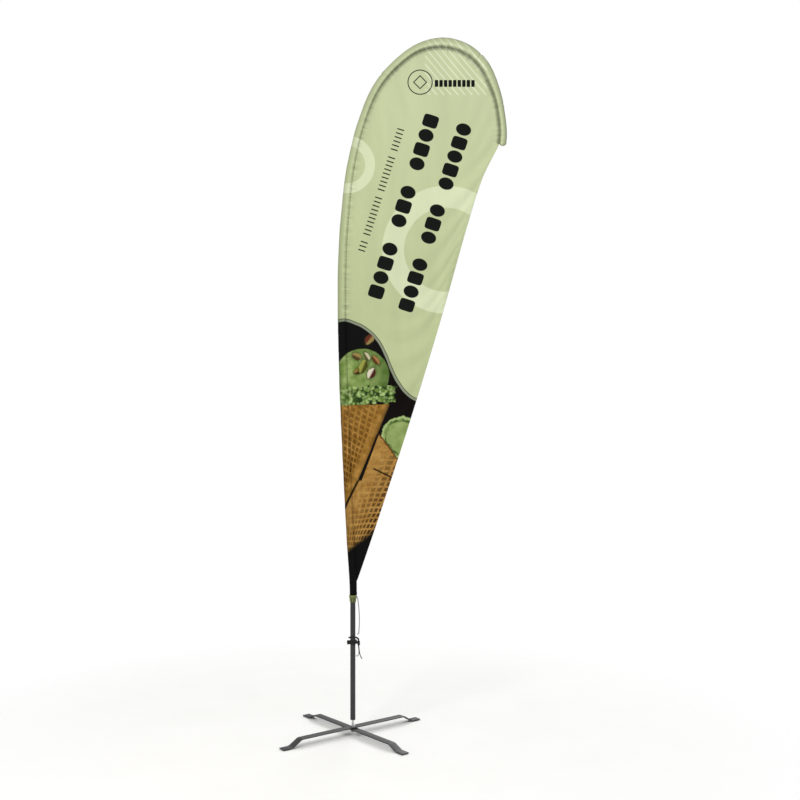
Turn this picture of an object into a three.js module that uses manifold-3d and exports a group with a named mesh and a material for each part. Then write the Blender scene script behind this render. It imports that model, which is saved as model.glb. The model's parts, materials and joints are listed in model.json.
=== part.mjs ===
// Teardrop flag on a folding cross base.
//
// Millimetres, +Z up. The origin is on the floor, on the axis of the spindle that the pole turns on.
// The flag lies in the XZ plane, and its free edge points towards +X.

import * as THREE from 'three';
import * as BufferGeometryUtils from 'three/addons/utils/BufferGeometryUtils.js';
import Module from 'manifold-3d';

const wasm = await Module();
wasm.setup();

// ---- driving dimensions --------------------------------------------------------------------------

const FIT_GAP = 0.3; // clearance between pieces that touch

// base: two flat bars that cross on a stud
const BAR_WIDTH = 40;
const BAR_THICKNESS = 5;
const LEG_BEND_RADIUS_AT = 308; // distance from the stud to where a leg bends down
const FOOT_BEND_AT = 358; // distance from the stud to where it bends flat again
const BAR_END_AT = 410;
const BEND_SOFTNESS = 14; // length taken by each bend, along the bar
const LOWER_BAR_Z = 27.5; // middle of the bar's thickness at the stud
const UPPER_BAR_Z = 36.1;
const LOWER_BAR_TURN = -51.5; // degrees from +X
const UPPER_BAR_TURN = 38.5;
const STUD_HOLE_RADIUS = 5.5;

const PAD_HEIGHT = 2.7;
const PAD_LENGTH = 38;
const PAD_WIDTH = 34;
const PAD_CENTRE_AT = 386;

// spindle and its rotator
const STUD_RADIUS = 5;
const STUD_BOTTOM = 10;
const FLANGE_RADIUS = 13;
const FLANGE_HEIGHT = 4;
const NECK_RADIUS = 5.5;
const PIN_RADIUS = 6;
const PIN_TOP = 196;
const NUT_ACROSS_FLATS = 17;
const NUT_HEIGHT = 10;
const WASHER_THICKNESS = 2;
const WASHER_RADIUS = 12;
const SPACER_RADIUS = 19;
const SHOULDER_RADIUS = 8.5;
const BEARING_HEIGHT = 7;
const BARREL_TOP = 188;
const RETAINER_RADIUS = 9;
const RETAINER_HEIGHT = 1.6;

// pole
const POLE_BOTTOM = 72;
const POLE_RADIUS = 12.5;
const POLE_WALL = 1.5;
const SECOND_RADIUS = 10.6;
const SECOND_WALL = 1.5;
const THIRD_RADIUS = [8.7, 6];
const WHIP_RADIUS = [5.9, 3];
const SECTION_OVERLAP = 80;
const LOWER_END = 1080; // distances along the pole from its bottom end
const SECOND_END = 2110;
const THIRD_END = 3185;
const TIP_SHORTFALL = 44; // the whip ends this far before the end of the sleeve
const PLUG_HEIGHT = 15;
const STOP_RING_LENGTH = 13.5;
const SECTION_JOINT_GAP = 0.5;
const FERRULE_CLEARANCE = 0.6;
const FERRULE_WALL = 1.2;
const FERRULE_HALF_LENGTH = 35;
const TIP_CAP_RADIUS = 5;
const TIP_CAP_LENGTH = 12;

// flag
const SLEEVE_BOTTOM = 679;
const TIP_POCKET_LENGTH = 46;
const SLEEVE_TO_POLE = 3.1; // from the outer edge of the sleeve to the pole inside it
const PANEL_THICKNESS = 1.6;
const HEM_WIDTH = 14;
const HEM_THICKNESS = 3;
const SEAM_GAP = 1.6; // between pocket and panel, which both follow the seam in short straight steps
const PANEL_BOTTOM = 795;
const CUFF_BOTTOM = 635;

// tie on the bare pole
const TIE_BOTTOM = 437;
const TIE_TOP = 461;
const TIE_RADIUS = 19;
const STRAND_RADIUS = 4.2;

// ---- finishes ------------------------------------------------------------------------------------

function finish(name, colour, roughness, metalness) {
  return new THREE.MeshStandardMaterial({ name, color: colour, roughness, metalness });
}

const graphitePaint = finish('graphite_paint', 0x3c3d3f, 0.55, 0.2);
const platedSteel = finish('plated_steel', 0xd3d4d6, 0.2, 1);
const zincSteel = finish('zinc_steel', 0x9a9da0, 0.4, 1);
const anodisedTube = finish('anodised_tube', 0x434446, 0.42, 0.6);
const fibreglass = finish('fibreglass', 0x202123, 0.45, 0);
const blackNylon = finish('black_nylon', 0x141415, 0.5, 0);
const blackRubber = finish('black_rubber', 0x171718, 0.85, 0);
const greenKnit = finish('green_knit', 0xc3cd9b, 0.9, 0);
const greenWebbing = finish('green_webbing', 0x9db154, 0.9, 0);
const greyElastic = finish('grey_elastic', 0xa3a3a3, 0.85, 0);
const blackElastic = finish('black_elastic', 0x111111, 0.85, 0);

// ---- the outer edge of the sleeve, which everything on the flag is placed from --------------------

const outerEdge = new THREE.CatmullRomCurve3(
  [
    [-15.6, POLE_BOTTOM],
    [-15.6, 300],
    [-15.6, 520],
    [-15.6, 610],
    [-15.6, 690],
    [-16.4, 745],
    [-19.8, 805],
    [-26.5, 890],
    [-37.5, 1090],
    [-47.5, 1290],
    [-62, 1610],
    [-72, 1940],
    [-74, 2130],
    [-70, 2350],
    [-57, 2540],
    [-33, 2745],
    [21.5, 2977.6],
    [106.8, 3176],
    [223.4, 3306],
    [330, 3374],
    [442.4, 3398.5],
    [540, 3377],
    [612, 3331],
    [668.3, 3265],
    [722, 3130],
    [744, 3015],
    [751.5, 2936],
    [747, 2868],
  ].map(([x, z]) => new THREE.Vector3(x, 0, z)),
  false,
  'centripetal',
);
outerEdge.arcLengthDivisions = 2000;
const edgeLength = outerEdge.getLength();

// A point that lies `inward` of the outer edge, towards the middle of the flag.
function inwardOfEdge(along, inward) {
  const t = THREE.MathUtils.clamp(along / edgeLength, 0, 1);
  const point = outerEdge.getPointAt(t);
  const tangent = outerEdge.getTangentAt(t);
  return new THREE.Vector3(point.x + tangent.z * inward, 0, point.z - tangent.x * inward);
}

// Interpolates a value given at a few distances along the edge.
function alongEdge(stops, along) {
  let k = 0;
  while (k < stops.length - 2 && along > stops[k + 1][0]) k += 1;
  const [from, a] = stops[k];
  const [to, b] = stops[k + 1];
  return a + (b - a) * THREE.MathUtils.smoothstep(along, from, to);
}

// [distance along the edge, width of the pocket in the flag's plane]
const sleeveWidths = [
  [600, 35],
  [900, 38],
  [1500, 42],
  [2400, 40],
  [3000, 35],
  [3350, 36],
  [3600, 50],
  [3800, 48],
  [4050, 34],
  [4600, 38],
];
const sleeveWidth = (along) => alongEdge(sleeveWidths, along);
const sleeveHalfDepths = [
  [600, 15.6],
  [2200, 14.5],
  [3200, 12.5],
  [4600, 12],
];
const sleeveHalfDepth = (along) => alongEdge(sleeveHalfDepths, along);

// The pole lies against the outer side of the sleeve, and its axis rises straight for the bare stretch.
const poleAxisInsets = [
  [900, POLE_RADIUS + SLEEVE_TO_POLE],
  [3000, 12.5],
  [4600, 10.5],
];
const poleAxisInset = (along) => alongEdge(poleAxisInsets, along);

const POLE_STATIONS = 90;
const poleAxis = new THREE.CatmullRomCurve3(
  Array.from({ length: POLE_STATIONS + 1 }, (_, k) => {
    const along = (edgeLength * k) / POLE_STATIONS;
    return inwardOfEdge(along, poleAxisInset(along));
  }),
);
poleAxis.arcLengthDivisions = 2000;
const poleLength = poleAxis.getLength();

// ---- helpers -------------------------------------------------------------------------------------

function named(name, geometry, material) {
  const mesh = new THREE.Mesh(geometry, material);
  mesh.name = name;
  return mesh;
}

function circleShape(radius, holeRadius = 0) {
  const shape = new THREE.Shape();
  shape.absarc(0, 0, radius, 0, Math.PI * 2);
  if (holeRadius > 0) {
    const hole = new THREE.Path();
    hole.absarc(0, 0, holeRadius, 0, Math.PI * 2, true);
    shape.holes.push(hole);
  }
  return shape;
}

// A flat shape given height, standing on z = bottom.
function slab(shape, bottom, top, segments = 12) {
  const geometry = new THREE.ExtrudeGeometry(shape, {
    depth: top - bottom,
    bevelEnabled: false,
    curveSegments: segments,
  });
  return geometry.translate(0, 0, bottom);
}

// A turned piece: [radius, z] pairs from the bottom of the axis to its top, or a closed ring.
function turned(profile, segments = 24) {
  const geometry = new THREE.LatheGeometry(profile.map(([r, z]) => new THREE.Vector2(r, z)), segments);
  return geometry.rotateX(Math.PI / 2);
}

function ring(inner, outer, bottom, top, segments = 24) {
  return turned([[inner, bottom], [outer, bottom], [outer, top], [inner, top], [inner, bottom]], segments);
}

// Carries a section along the flag's plane: x of the section points inward, y stays across the flag.
// `pace` spreads the steps, so that a long piece can have more of them where it bends more.
function sweepInPlane(shape, place, from, to, steps, scale, curveSegments = 8, pace = (t) => t) {
  const options = { depth: 1, steps, bevelEnabled: false, curveSegments };
  const geometry = new THREE.ExtrudeGeometry(shape, options);
  const position = geometry.getAttribute('position');
  for (let k = 0; k < position.count; k += 1) {
    const along = THREE.MathUtils.lerp(from, to, pace(position.getZ(k)));
    const { point, tangent } = place(along);
    const [sx, sy] = scale(along);
    const x = position.getX(k) * sx;
    position.setXYZ(k, point.x + tangent.z * x, position.getY(k) * sy, point.z - tangent.x * x);
  }
  geometry.computeVertexNormals();
  return geometry;
}

function onPoleAxis(along) {
  const t = THREE.MathUtils.clamp(along / poleLength, 0, 1);
  return { point: poleAxis.getPointAt(t), tangent: poleAxis.getTangentAt(t) };
}

function onOuterEdge(along) {
  const t = THREE.MathUtils.clamp(along / edgeLength, 0, 1);
  return { point: outerEdge.getPointAt(t), tangent: outerEdge.getTangentAt(t) };
}

const sameSize = () => [1, 1];

function taper(from, to, [startRadius, endRadius]) {
  return (along) => {
    const radius = THREE.MathUtils.mapLinear(along, from, to, startRadius, endRadius);
    return [radius, radius];
  };
}

// A round cord along a smooth line through the given points.
function cord(points, radius, steps) {
  const through = points.map((p) => new THREE.Vector3(...p));
  const line = new THREE.CatmullRomCurve3(through, false, 'centripetal');
  return new THREE.ExtrudeGeometry(circleShape(radius), {
    extrudePath: line,
    steps,
    bevelEnabled: false,
    curveSegments: 4,
  });
}

function toManifold(geometry) {
  const bare = geometry.clone();
  bare.deleteAttribute('normal');
  bare.deleteAttribute('uv');
  const merged = BufferGeometryUtils.mergeVertices(bare, 1e-4);
  return new wasm.Manifold(
    new wasm.Mesh({
      numProp: 3,
      vertProperties: new Float32Array(merged.getAttribute('position').array),
      triVerts: new Uint32Array(merged.getIndex().array),
    }),
  );
}

function cutAway(body, tool) {
  const result = toManifold(body).subtract(toManifold(tool)).getMesh();
  const geometry = new THREE.BufferGeometry();
  geometry.setAttribute('position', new THREE.BufferAttribute(result.vertProperties, 3));
  geometry.setIndex(new THREE.BufferAttribute(result.triVerts, 1));
  return geometry;
}

// ---- base ----------------------------------------------------------------------------------------

// Side view of half a bar, from the stud outwards: flat, down a slope, and flat again on the foot.
function barCentreline(hubZ) {
  const footZ = PAD_HEIGHT + FIT_GAP + BAR_THICKNESS / 2;
  const slope = (hubZ - footZ) / (FOOT_BEND_AT - LEG_BEND_RADIUS_AT);
  const half = BEND_SOFTNESS / 2;
  const bend = (at, z, before, after) =>
    new THREE.QuadraticBezierCurve(
      new THREE.Vector2(at - half, z - before * half),
      new THREE.Vector2(at, z),
      new THREE.Vector2(at + half, z + after * half),
    ).getPoints(6);
  return [
    new THREE.Vector2(0, hubZ),
    ...bend(LEG_BEND_RADIUS_AT, hubZ, 0, -slope),
    ...bend(FOOT_BEND_AT, footZ, -slope, 0),
    new THREE.Vector2(BAR_END_AT, footZ),
  ];
}

function bar(hubZ) {
  const half = barCentreline(hubZ);
  const mirrored = half.slice(1).map((p) => new THREE.Vector2(-p.x, p.y)).reverse();
  const line = [...mirrored, ...half];
  const side = (sign) =>
    line.map((p, k) => {
      const before = line[Math.max(k - 1, 0)];
      const after = line[Math.min(k + 1, line.length - 1)];
      const along = after.clone().sub(before).normalize();
      const offset = (sign * BAR_THICKNESS) / 2;
      return new THREE.Vector2(p.x - along.y * offset, p.y + along.x * offset);
    });
  const outline = new THREE.Shape([...side(-1), ...side(1).reverse()]);
  const strip = new THREE.ExtrudeGeometry(outline, { depth: BAR_WIDTH, bevelEnabled: false });
  strip.translate(0, 0, -BAR_WIDTH / 2).rotateX(Math.PI / 2);
  const drill = slab(circleShape(STUD_HOLE_RADIUS), hubZ - BAR_THICKNESS, hubZ + BAR_THICKNESS);
  return cutAway(strip, drill);
}

function footPad() {
  const corner = 5;
  const x = PAD_LENGTH / 2;
  const y = PAD_WIDTH / 2;
  const outline = new THREE.Shape();
  outline.moveTo(-x + corner, -y);
  outline.lineTo(x - corner, -y);
  outline.quadraticCurveTo(x, -y, x, -y + corner);
  outline.lineTo(x, y - corner);
  outline.quadraticCurveTo(x, y, x - corner, y);
  outline.lineTo(-x + corner, y);
  outline.quadraticCurveTo(-x, y, -x, y - corner);
  outline.lineTo(-x, -y + corner);
  outline.quadraticCurveTo(-x, -y, -x + corner, -y);
  return slab(outline, 0, PAD_HEIGHT, 3);
}

const lowerBarBottom = LOWER_BAR_Z - BAR_THICKNESS / 2;
const lowerBarTop = LOWER_BAR_Z + BAR_THICKNESS / 2;
const upperBarBottom = UPPER_BAR_Z - BAR_THICKNESS / 2;
const upperBarTop = UPPER_BAR_Z + BAR_THICKNESS / 2;

function lockNut() {
  const top = lowerBarBottom - WASHER_THICKNESS - 2 * FIT_GAP;
  const outline = new THREE.Shape();
  const cornerRadius = NUT_ACROSS_FLATS / Math.sqrt(3);
  for (let k = 0; k < 6; k += 1) {
    const angle = (k * Math.PI) / 3;
    outline[k ? 'lineTo' : 'moveTo'](cornerRadius * Math.cos(angle), cornerRadius * Math.sin(angle));
  }
  const bore = new THREE.Path();
  bore.absarc(0, 0, STUD_RADIUS + FIT_GAP, 0, Math.PI * 2, true);
  outline.holes.push(bore);
  return slab(outline, top - NUT_HEIGHT, top);
}

const shoulderBottom = POLE_BOTTOM - 2;
const bearingBottom = POLE_BOTTOM + 4;

function spindlePin() {
  const flangeBottom = upperBarTop + FIT_GAP;
  const flangeTop = flangeBottom + FLANGE_HEIGHT;
  return turned([
    [0, STUD_BOTTOM],
    [STUD_RADIUS - 1, STUD_BOTTOM],
    [STUD_RADIUS, STUD_BOTTOM + 1],
    [STUD_RADIUS, flangeBottom],
    [FLANGE_RADIUS, flangeBottom],
    [FLANGE_RADIUS, flangeTop - 1],
    [FLANGE_RADIUS - 1, flangeTop],
    [NECK_RADIUS, flangeTop],
    [NECK_RADIUS, shoulderBottom],
    [SHOULDER_RADIUS, shoulderBottom],
    [SHOULDER_RADIUS, bearingBottom - FIT_GAP],
    [PIN_RADIUS, bearingBottom - FIT_GAP],
    [PIN_RADIUS, PIN_TOP - 2],
    [PIN_RADIUS - 2, PIN_TOP],
    [0, PIN_TOP],
  ]);
}

function makeBase() {
  const base = new THREE.Group();

  const bars = [
    ['lower_bar', LOWER_BAR_Z, LOWER_BAR_TURN, ['front_right', 'back_left']],
    ['upper_bar', UPPER_BAR_Z, UPPER_BAR_TURN, ['back_right', 'front_left']],
  ];
  for (const [name, hubZ, turn, feet] of bars) {
    const arm = new THREE.Group();
    arm.rotation.z = THREE.MathUtils.degToRad(turn);
    arm.add(named(name, bar(hubZ), graphitePaint));
    feet.forEach((foot, k) => {
      const pad = named(`foot_pad_${foot}`, footPad(), blackRubber);
      pad.position.x = k === 0 ? PAD_CENTRE_AT : -PAD_CENTRE_AT;
      arm.add(pad);
    });
    base.add(arm);
  }

  const bore = STUD_RADIUS + FIT_GAP;
  const spacer = ring(bore, SPACER_RADIUS, lowerBarTop + FIT_GAP, upperBarBottom - FIT_GAP);
  const washerTop = lowerBarBottom - FIT_GAP;
  const washer = ring(bore, WASHER_RADIUS, washerTop - WASHER_THICKNESS, washerTop);
  base.add(named('bar_spacer', spacer, blackNylon));
  base.add(named('lower_washer', washer, zincSteel));
  base.add(named('lock_nut', lockNut(), zincSteel));
  base.add(named('spindle_pin', spindlePin(), platedSteel));
  return base;
}

// ---- rotator on the spindle ----------------------------------------------------------------------

function makeRotator() {
  const rotator = new THREE.Group();
  const bore = PIN_RADIUS + FIT_GAP;
  const outside = POLE_RADIUS - POLE_WALL - FIT_GAP;
  const barrelBottom = bearingBottom + BEARING_HEIGHT + FIT_GAP;
  const retainerBottom = BARREL_TOP + FIT_GAP;
  const bearing = ring(bore, outside, bearingBottom, bearingBottom + BEARING_HEIGHT);
  const barrel = ring(bore, outside, barrelBottom, BARREL_TOP);
  const retainer = ring(bore, RETAINER_RADIUS, retainerBottom, retainerBottom + RETAINER_HEIGHT);
  rotator.add(named('thrust_bearing', bearing, zincSteel));
  rotator.add(named('rotator_barrel', barrel, blackNylon));
  rotator.add(named('retaining_ring', retainer, zincSteel));
  return rotator;
}

// ---- pole ----------------------------------------------------------------------------------------

function alongPole(section, from, to, steps, size = sameSize, curveSegments = 8) {
  return sweepInPlane(section, onPoleAxis, from, to, steps, size, curveSegments);
}

function makePole() {
  const pole = new THREE.Group();
  const poleTube = circleShape(POLE_RADIUS, POLE_RADIUS - POLE_WALL);
  const secondTube = circleShape(SECOND_RADIUS, SECOND_RADIUS - SECOND_WALL);
  const rod = circleShape(1);
  const lowerRing = circleShape(POLE_RADIUS, SECOND_RADIUS + FIT_GAP);
  const upperRing = circleShape(SECOND_RADIUS, THIRD_RADIUS[0] + FIT_GAP);
  const ferruleBore = THIRD_RADIUS[1] + FERRULE_CLEARANCE;
  const ferruleTube = circleShape(ferruleBore + FERRULE_WALL, ferruleBore);

  const secondStart = LOWER_END - SECTION_OVERLAP;
  const thirdStart = SECOND_END - SECTION_OVERLAP;
  const whipStart = THIRD_END + 2 * SECTION_JOINT_GAP;
  const tipEnd = poleLength - TIP_SHORTFALL;
  const plugBottom = PIN_TOP + FIT_GAP;
  const lowerRingStart = LOWER_END + SECTION_JOINT_GAP;
  const upperRingStart = SECOND_END + SECTION_JOINT_GAP;
  const capStart = tipEnd + FIT_GAP;

  const lower = alongPole(poleTube, 0, LOWER_END, 9);
  const second = alongPole(secondTube, secondStart, SECOND_END, 9);
  const third = alongPole(rod, thirdStart, THIRD_END, 36, taper(thirdStart, THIRD_END, THIRD_RADIUS), 5);
  const whip = alongPole(rod, whipStart, tipEnd, 32, taper(whipStart, tipEnd, WHIP_RADIUS), 5);
  const plug = slab(circleShape(POLE_RADIUS - POLE_WALL - FIT_GAP), plugBottom, plugBottom + PLUG_HEIGHT);
  const stopLower = alongPole(lowerRing, lowerRingStart, lowerRingStart + STOP_RING_LENGTH, 2);
  const stopUpper = alongPole(upperRing, upperRingStart, upperRingStart + STOP_RING_LENGTH, 2);
  const ferruleStart = THIRD_END + SECTION_JOINT_GAP - FERRULE_HALF_LENGTH;
  const ferrule = alongPole(ferruleTube, ferruleStart, ferruleStart + 2 * FERRULE_HALF_LENGTH, 5);
  const capSize = (along) => {
    const radius = along < capStart + 0.75 * TIP_CAP_LENGTH ? TIP_CAP_RADIUS : 0.68 * TIP_CAP_RADIUS;
    return [radius, radius];
  };
  const cap = alongPole(rod, capStart, capStart + TIP_CAP_LENGTH, 4, capSize, 6);

  pole.add(named('pole_lower', lower, anodisedTube));
  pole.add(named('pole_second', second, anodisedTube));
  pole.add(named('pole_third', third, fibreglass));
  pole.add(named('pole_whip', whip, fibreglass));
  pole.add(named('pole_plug', plug, blackNylon));
  pole.add(named('stop_ring_lower', stopLower, blackNylon));
  pole.add(named('stop_ring_upper', stopUpper, blackNylon));
  pole.add(named('whip_ferrule', ferrule, zincSteel));
  pole.add(named('tip_cap', cap, blackRubber));
  return pole;
}

// ---- flag ----------------------------------------------------------------------------------------

// The pocket is round where the pole fills it and narrows to the seam, on a unit width and half depth.
const SEAM_HALF_THICKNESS = 0.1;
function pocketHalf(x) {
  const widest = 0.42;
  if (x < widest) return Math.sqrt(1 - (1 - x / widest) ** 2);
  const towardsSeam = (x - widest) / (1 - widest);
  return SEAM_HALF_THICKNESS + (1 - SEAM_HALF_THICKNESS) * Math.cos((Math.PI / 2) * towardsSeam) ** 0.8;
}

function pocketOutline(from, to, depth) {
  const stations = [0, 0.04, 0.17, 0.42, 0.68, 0.88, 1];
  const place = (x, side) => new THREE.Vector2(from + (to - from) * x, side * depth * pocketHalf(x));
  const front = stations.map((x) => place(x, -1));
  const back = stations.slice(1).reverse().map((x) => place(x, 1));
  return [...front, ...back];
}

const pocketScale = (along) => [sleeveWidth(along), sleeveHalfDepth(along)];
const sleeveStart = SLEEVE_BOTTOM - POLE_BOTTOM;
const pocketStart = edgeLength - TIP_POCKET_LENGTH;

function poleSleeve() {
  const section = new THREE.Shape(pocketOutline(0, 1, 1));
  section.holes.push(new THREE.Path(pocketOutline(0.035, 0.9, 0.9)));
  const closerAtTop = (t) => t * (1.65 - 0.65 * t);
  const end = pocketStart - FIT_GAP;
  return sweepInPlane(section, onOuterEdge, sleeveStart, end, 50, pocketScale, 1, closerAtTop);
}

function tipPocket() {
  const outside = new THREE.Shape(pocketOutline(0, 1, 1));
  const inside = new THREE.Shape(pocketOutline(0.035, 0.9, 0.9));
  const roundedEnd = (along) => {
    const left = THREE.MathUtils.clamp((edgeLength - along) / 14, 0, 1);
    const fullness = 0.55 + 0.45 * Math.sqrt(1 - (1 - left) ** 2);
    return pocketScale(along).map((size) => size * fullness);
  };
  const skin = sweepInPlane(outside, onOuterEdge, pocketStart, edgeLength, 8, roundedEnd);
  const hollow = sweepInPlane(inside, onOuterEdge, pocketStart - 5, edgeLength - 16, 6, pocketScale);
  return cutAway(skin, hollow);
}

// The free edge runs from the end of the sleeve down to the foot of the flag.
const freeEdge = new THREE.CatmullRomCurve3(
  [
    [702, 2853],
    [681, 2813],
    [634, 2716],
    [566, 2506],
    [437, 2049],
    [282, 1538],
    [114, 1021],
    [37, PANEL_BOTTOM],
  ].map(([x, z]) => new THREE.Vector3(x, 0, z)),
  false,
  'centripetal',
);

function besideFreeEdge(inward, count) {
  return Array.from({ length: count + 1 }, (_, k) => {
    const point = freeEdge.getPointAt(k / count);
    const tangent = freeEdge.getTangentAt(k / count);
    return new THREE.Vector2(point.x + tangent.z * inward, point.z - tangent.x * inward);
  });
}

// A flat outline in the XZ plane, given a thickness across the flag.
function clothPlate(points, thickness) {
  const outline = new THREE.Shape(points);
  const plate = new THREE.ExtrudeGeometry(outline, { depth: thickness, bevelEnabled: false });
  return plate.translate(0, 0, -thickness / 2).rotateX(Math.PI / 2);
}

function flagPanel() {
  const seamFrom = sleeveStart + (PANEL_BOTTOM - SLEEVE_BOTTOM) + 16;
  const seamTo = edgeLength - 30;
  const count = 44;
  const seam = Array.from({ length: count + 1 }, (_, k) => {
    const along = THREE.MathUtils.lerp(seamFrom, seamTo, k / count);
    const point = inwardOfEdge(along, sleeveWidth(along) + SEAM_GAP);
    return new THREE.Vector2(point.x, point.z);
  });
  const free = besideFreeEdge(HEM_WIDTH + FIT_GAP, 14);
  return clothPlate([...seam, ...free], PANEL_THICKNESS);
}

function edgeHem() {
  const outer = besideFreeEdge(0, 14);
  const inner = besideFreeEdge(HEM_WIDTH, 14).reverse();
  return clothPlate([...outer, ...inner], HEM_THICKNESS);
}

function makeFlag() {
  const flag = new THREE.Group();
  flag.add(named('pole_sleeve', poleSleeve(), greenKnit));
  flag.add(named('tip_pocket', tipPocket(), greenKnit));
  flag.add(named('flag_panel', flagPanel(), greenKnit));
  flag.add(named('edge_hem', edgeHem(), greenKnit));

  const cuffTop = SLEEVE_BOTTOM - FIT_GAP;
  const inner = POLE_RADIUS + FIT_GAP;
  const cuff = turned([
    [inner, CUFF_BOTTOM],
    [inner + 1.4, CUFF_BOTTOM],
    [inner + 2.6, cuffTop - 22],
    [inner + 4.6, cuffTop - 4],
    [inner + 4.2, cuffTop],
    [inner, cuffTop],
    [inner, CUFF_BOTTOM],
  ]);
  flag.add(named('sleeve_cuff', cuff, greenWebbing));
  return flag;
}

// ---- the grey elastic cord, which hangs from the foot of the sleeve -------------------------------

const FLAG_CORD_RADIUS = 2.2;
const CORD_HOOK_RADIUS = 1.9;
const flagCordRoute = [
  [20.5, -2, 671],
  [23, -2.6, 665],
  [25, -3.2, 655],
  [26.6, -3.8, 643],
  [28, -4.2, 630],
  [29.4, -4.6, 616],
  [30.5, -4.9, 602],
  [31.3, -5.1, 588],
  [31.8, -5.2, 574],
  [32, -5.2, 560],
  [31.9, -5.2, 546],
  [31.5, -5.1, 533],
  [30.9, -5, 521],
  [30.2, -5, 511],
  [29.6, -5, 503],
];

function makeFlagCord() {
  const group = new THREE.Group();
  group.add(named('flag_cord', cord(flagCordRoute, FLAG_CORD_RADIUS, 22), greyElastic));
  const hook = cord(
    [
      [29.5, -5, 502.4],
      [29.3, -5, 497],
      [28.4, -5, 491.5],
      [25.6, -5, 488.2],
      [22.6, -5, 489.6],
      [21.6, -5, 493],
    ],
    CORD_HOOK_RADIUS,
    14,
  );
  group.add(named('cord_hook', hook, greyElastic));
  return group;
}

// ---- the tie on the bare pole --------------------------------------------------------------------

const TIE_TAIL_RADIUS = 2.2;
const TIE_LOOP_RADIUS = 1.5;
const tieTailRoute = [
  [29.5, -5, 433],
  [29.9, -5.2, 427],
  [30.3, -5.4, 421],
  [30.8, -5.6, 415],
  [31.4, -5.8, 409],
  [32.2, -6, 403],
  [33.2, -6.2, 397.5],
  [34.5, -6.4, 392],
  [36, -6.6, 387],
  [37.8, -6.8, 382.5],
  [39.9, -7, 378],
  [42.2, -7.2, 374],
  [44.6, -7.4, 370.5],
];

const tieLoopRoute = [
  [26.5, 1, 433],
  [27.2, 1, 426],
  [28, 0.9, 419],
  [28.8, 0.8, 412],
  [29.3, 0.6, 405],
  [29.3, 0.4, 398],
  [28.4, 0.2, 391.5],
  [26.6, 0, 386.5],
  [24, -0.2, 382.8],
  [21.2, -0.4, 381],
  [18.4, -0.6, 381.4],
  [16, -0.8, 384],
];

// The top turn of the tie: round the back, over the front of the pole and out to the knot.
function tieStrand() {
  const rise = TIE_TOP + FIT_GAP + STRAND_RADIUS;
  const hug = POLE_RADIUS + 3 * FIT_GAP + STRAND_RADIUS;
  const route = [
    [75, 0, 0.5],
    [110, 0, 1.5],
    [145, 0, 3.5],
    [180, 0.2, 6],
    [215, 0.3, 8.5],
    [250, 0.4, 10.5],
    [285, 1, 11.5],
    [315, 3.5, 10],
    [336, 7.2, 5.5],
    [347, 9.6, 0.8],
  ].map(([degrees, out, up]) => {
    const angle = THREE.MathUtils.degToRad(degrees);
    return [(hug + out) * Math.cos(angle), (hug + out) * Math.sin(angle), rise + up];
  });
  return cord(route, STRAND_RADIUS, 26);
}

function knot(size) {
  return new THREE.SphereGeometry(1, 14, 10).scale(...size);
}

function makeTie() {
  const tie = new THREE.Group();
  const inner = POLE_RADIUS + FIT_GAP;
  const band = turned([
    [inner, TIE_BOTTOM],
    [TIE_RADIUS - 2, TIE_BOTTOM],
    [TIE_RADIUS, TIE_BOTTOM + 3],
    [TIE_RADIUS, TIE_BOTTOM + 9],
    [TIE_RADIUS - 1.6, (TIE_BOTTOM + TIE_TOP) / 2],
    [TIE_RADIUS, TIE_TOP - 9],
    [TIE_RADIUS, TIE_TOP - 3],
    [TIE_RADIUS - 2, TIE_TOP],
    [inner, TIE_TOP],
    [inner, TIE_BOTTOM],
  ]);
  tie.add(named('tie_band', band, blackElastic));
  tie.add(named('tie_strand', tieStrand(), blackElastic));

  const rightKnot = named('tie_knot_right', knot([8, 9, 11.5]), blackElastic);
  rightKnot.position.set(TIE_RADIUS + 8.6, -3, TIE_BOTTOM + 8.5);
  const leftKnot = named('tie_knot_left', knot([3.6, 8, 11]), blackElastic);
  leftKnot.position.set(-TIE_RADIUS - 4, -3, TIE_BOTTOM + 12);
  tie.add(rightKnot, leftKnot);

  tie.add(named('tie_tail', cord(tieTailRoute, TIE_TAIL_RADIUS, 14), blackElastic));
  tie.add(named('tie_loop', cord(tieLoopRoute, TIE_LOOP_RADIUS, 16), blackElastic));
  return tie;
}

// ---- the whole object ----------------------------------------------------------------------------

const teardropFlag = new THREE.Group();
teardropFlag.add(makeBase(), makeRotator(), makePole(), makeFlag(), makeFlagCord(), makeTie());

export default teardropFlag;
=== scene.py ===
# %% [markdown]
# # A teardrop flag on a folding cross base
#
# A teardrop flag is a fabric sail on a bowed pole. The pole stands on the spindle of a base made of two flat
# steel bars, and it turns there with the wind. The mechanical model is already fixed: it says where each part is
# and how it moves. This lesson builds what the eye sees around it: the cloth, the print, the cords and the metal.
#
# Everything is in metres, with +Z up. The origin is on the floor, on the axis of the spindle. The flag lies in
# the XZ plane and its printed front faces -Y.

# %% Load the fixed frame
import json
import math
from contextlib import contextmanager
from functools import partial

import bmesh
import bpy
import numpy as np
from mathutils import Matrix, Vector, noise
from mathutils.bvhtree import BVHTree
from mathutils.geometry import delaunay_2d_cdt

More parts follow.
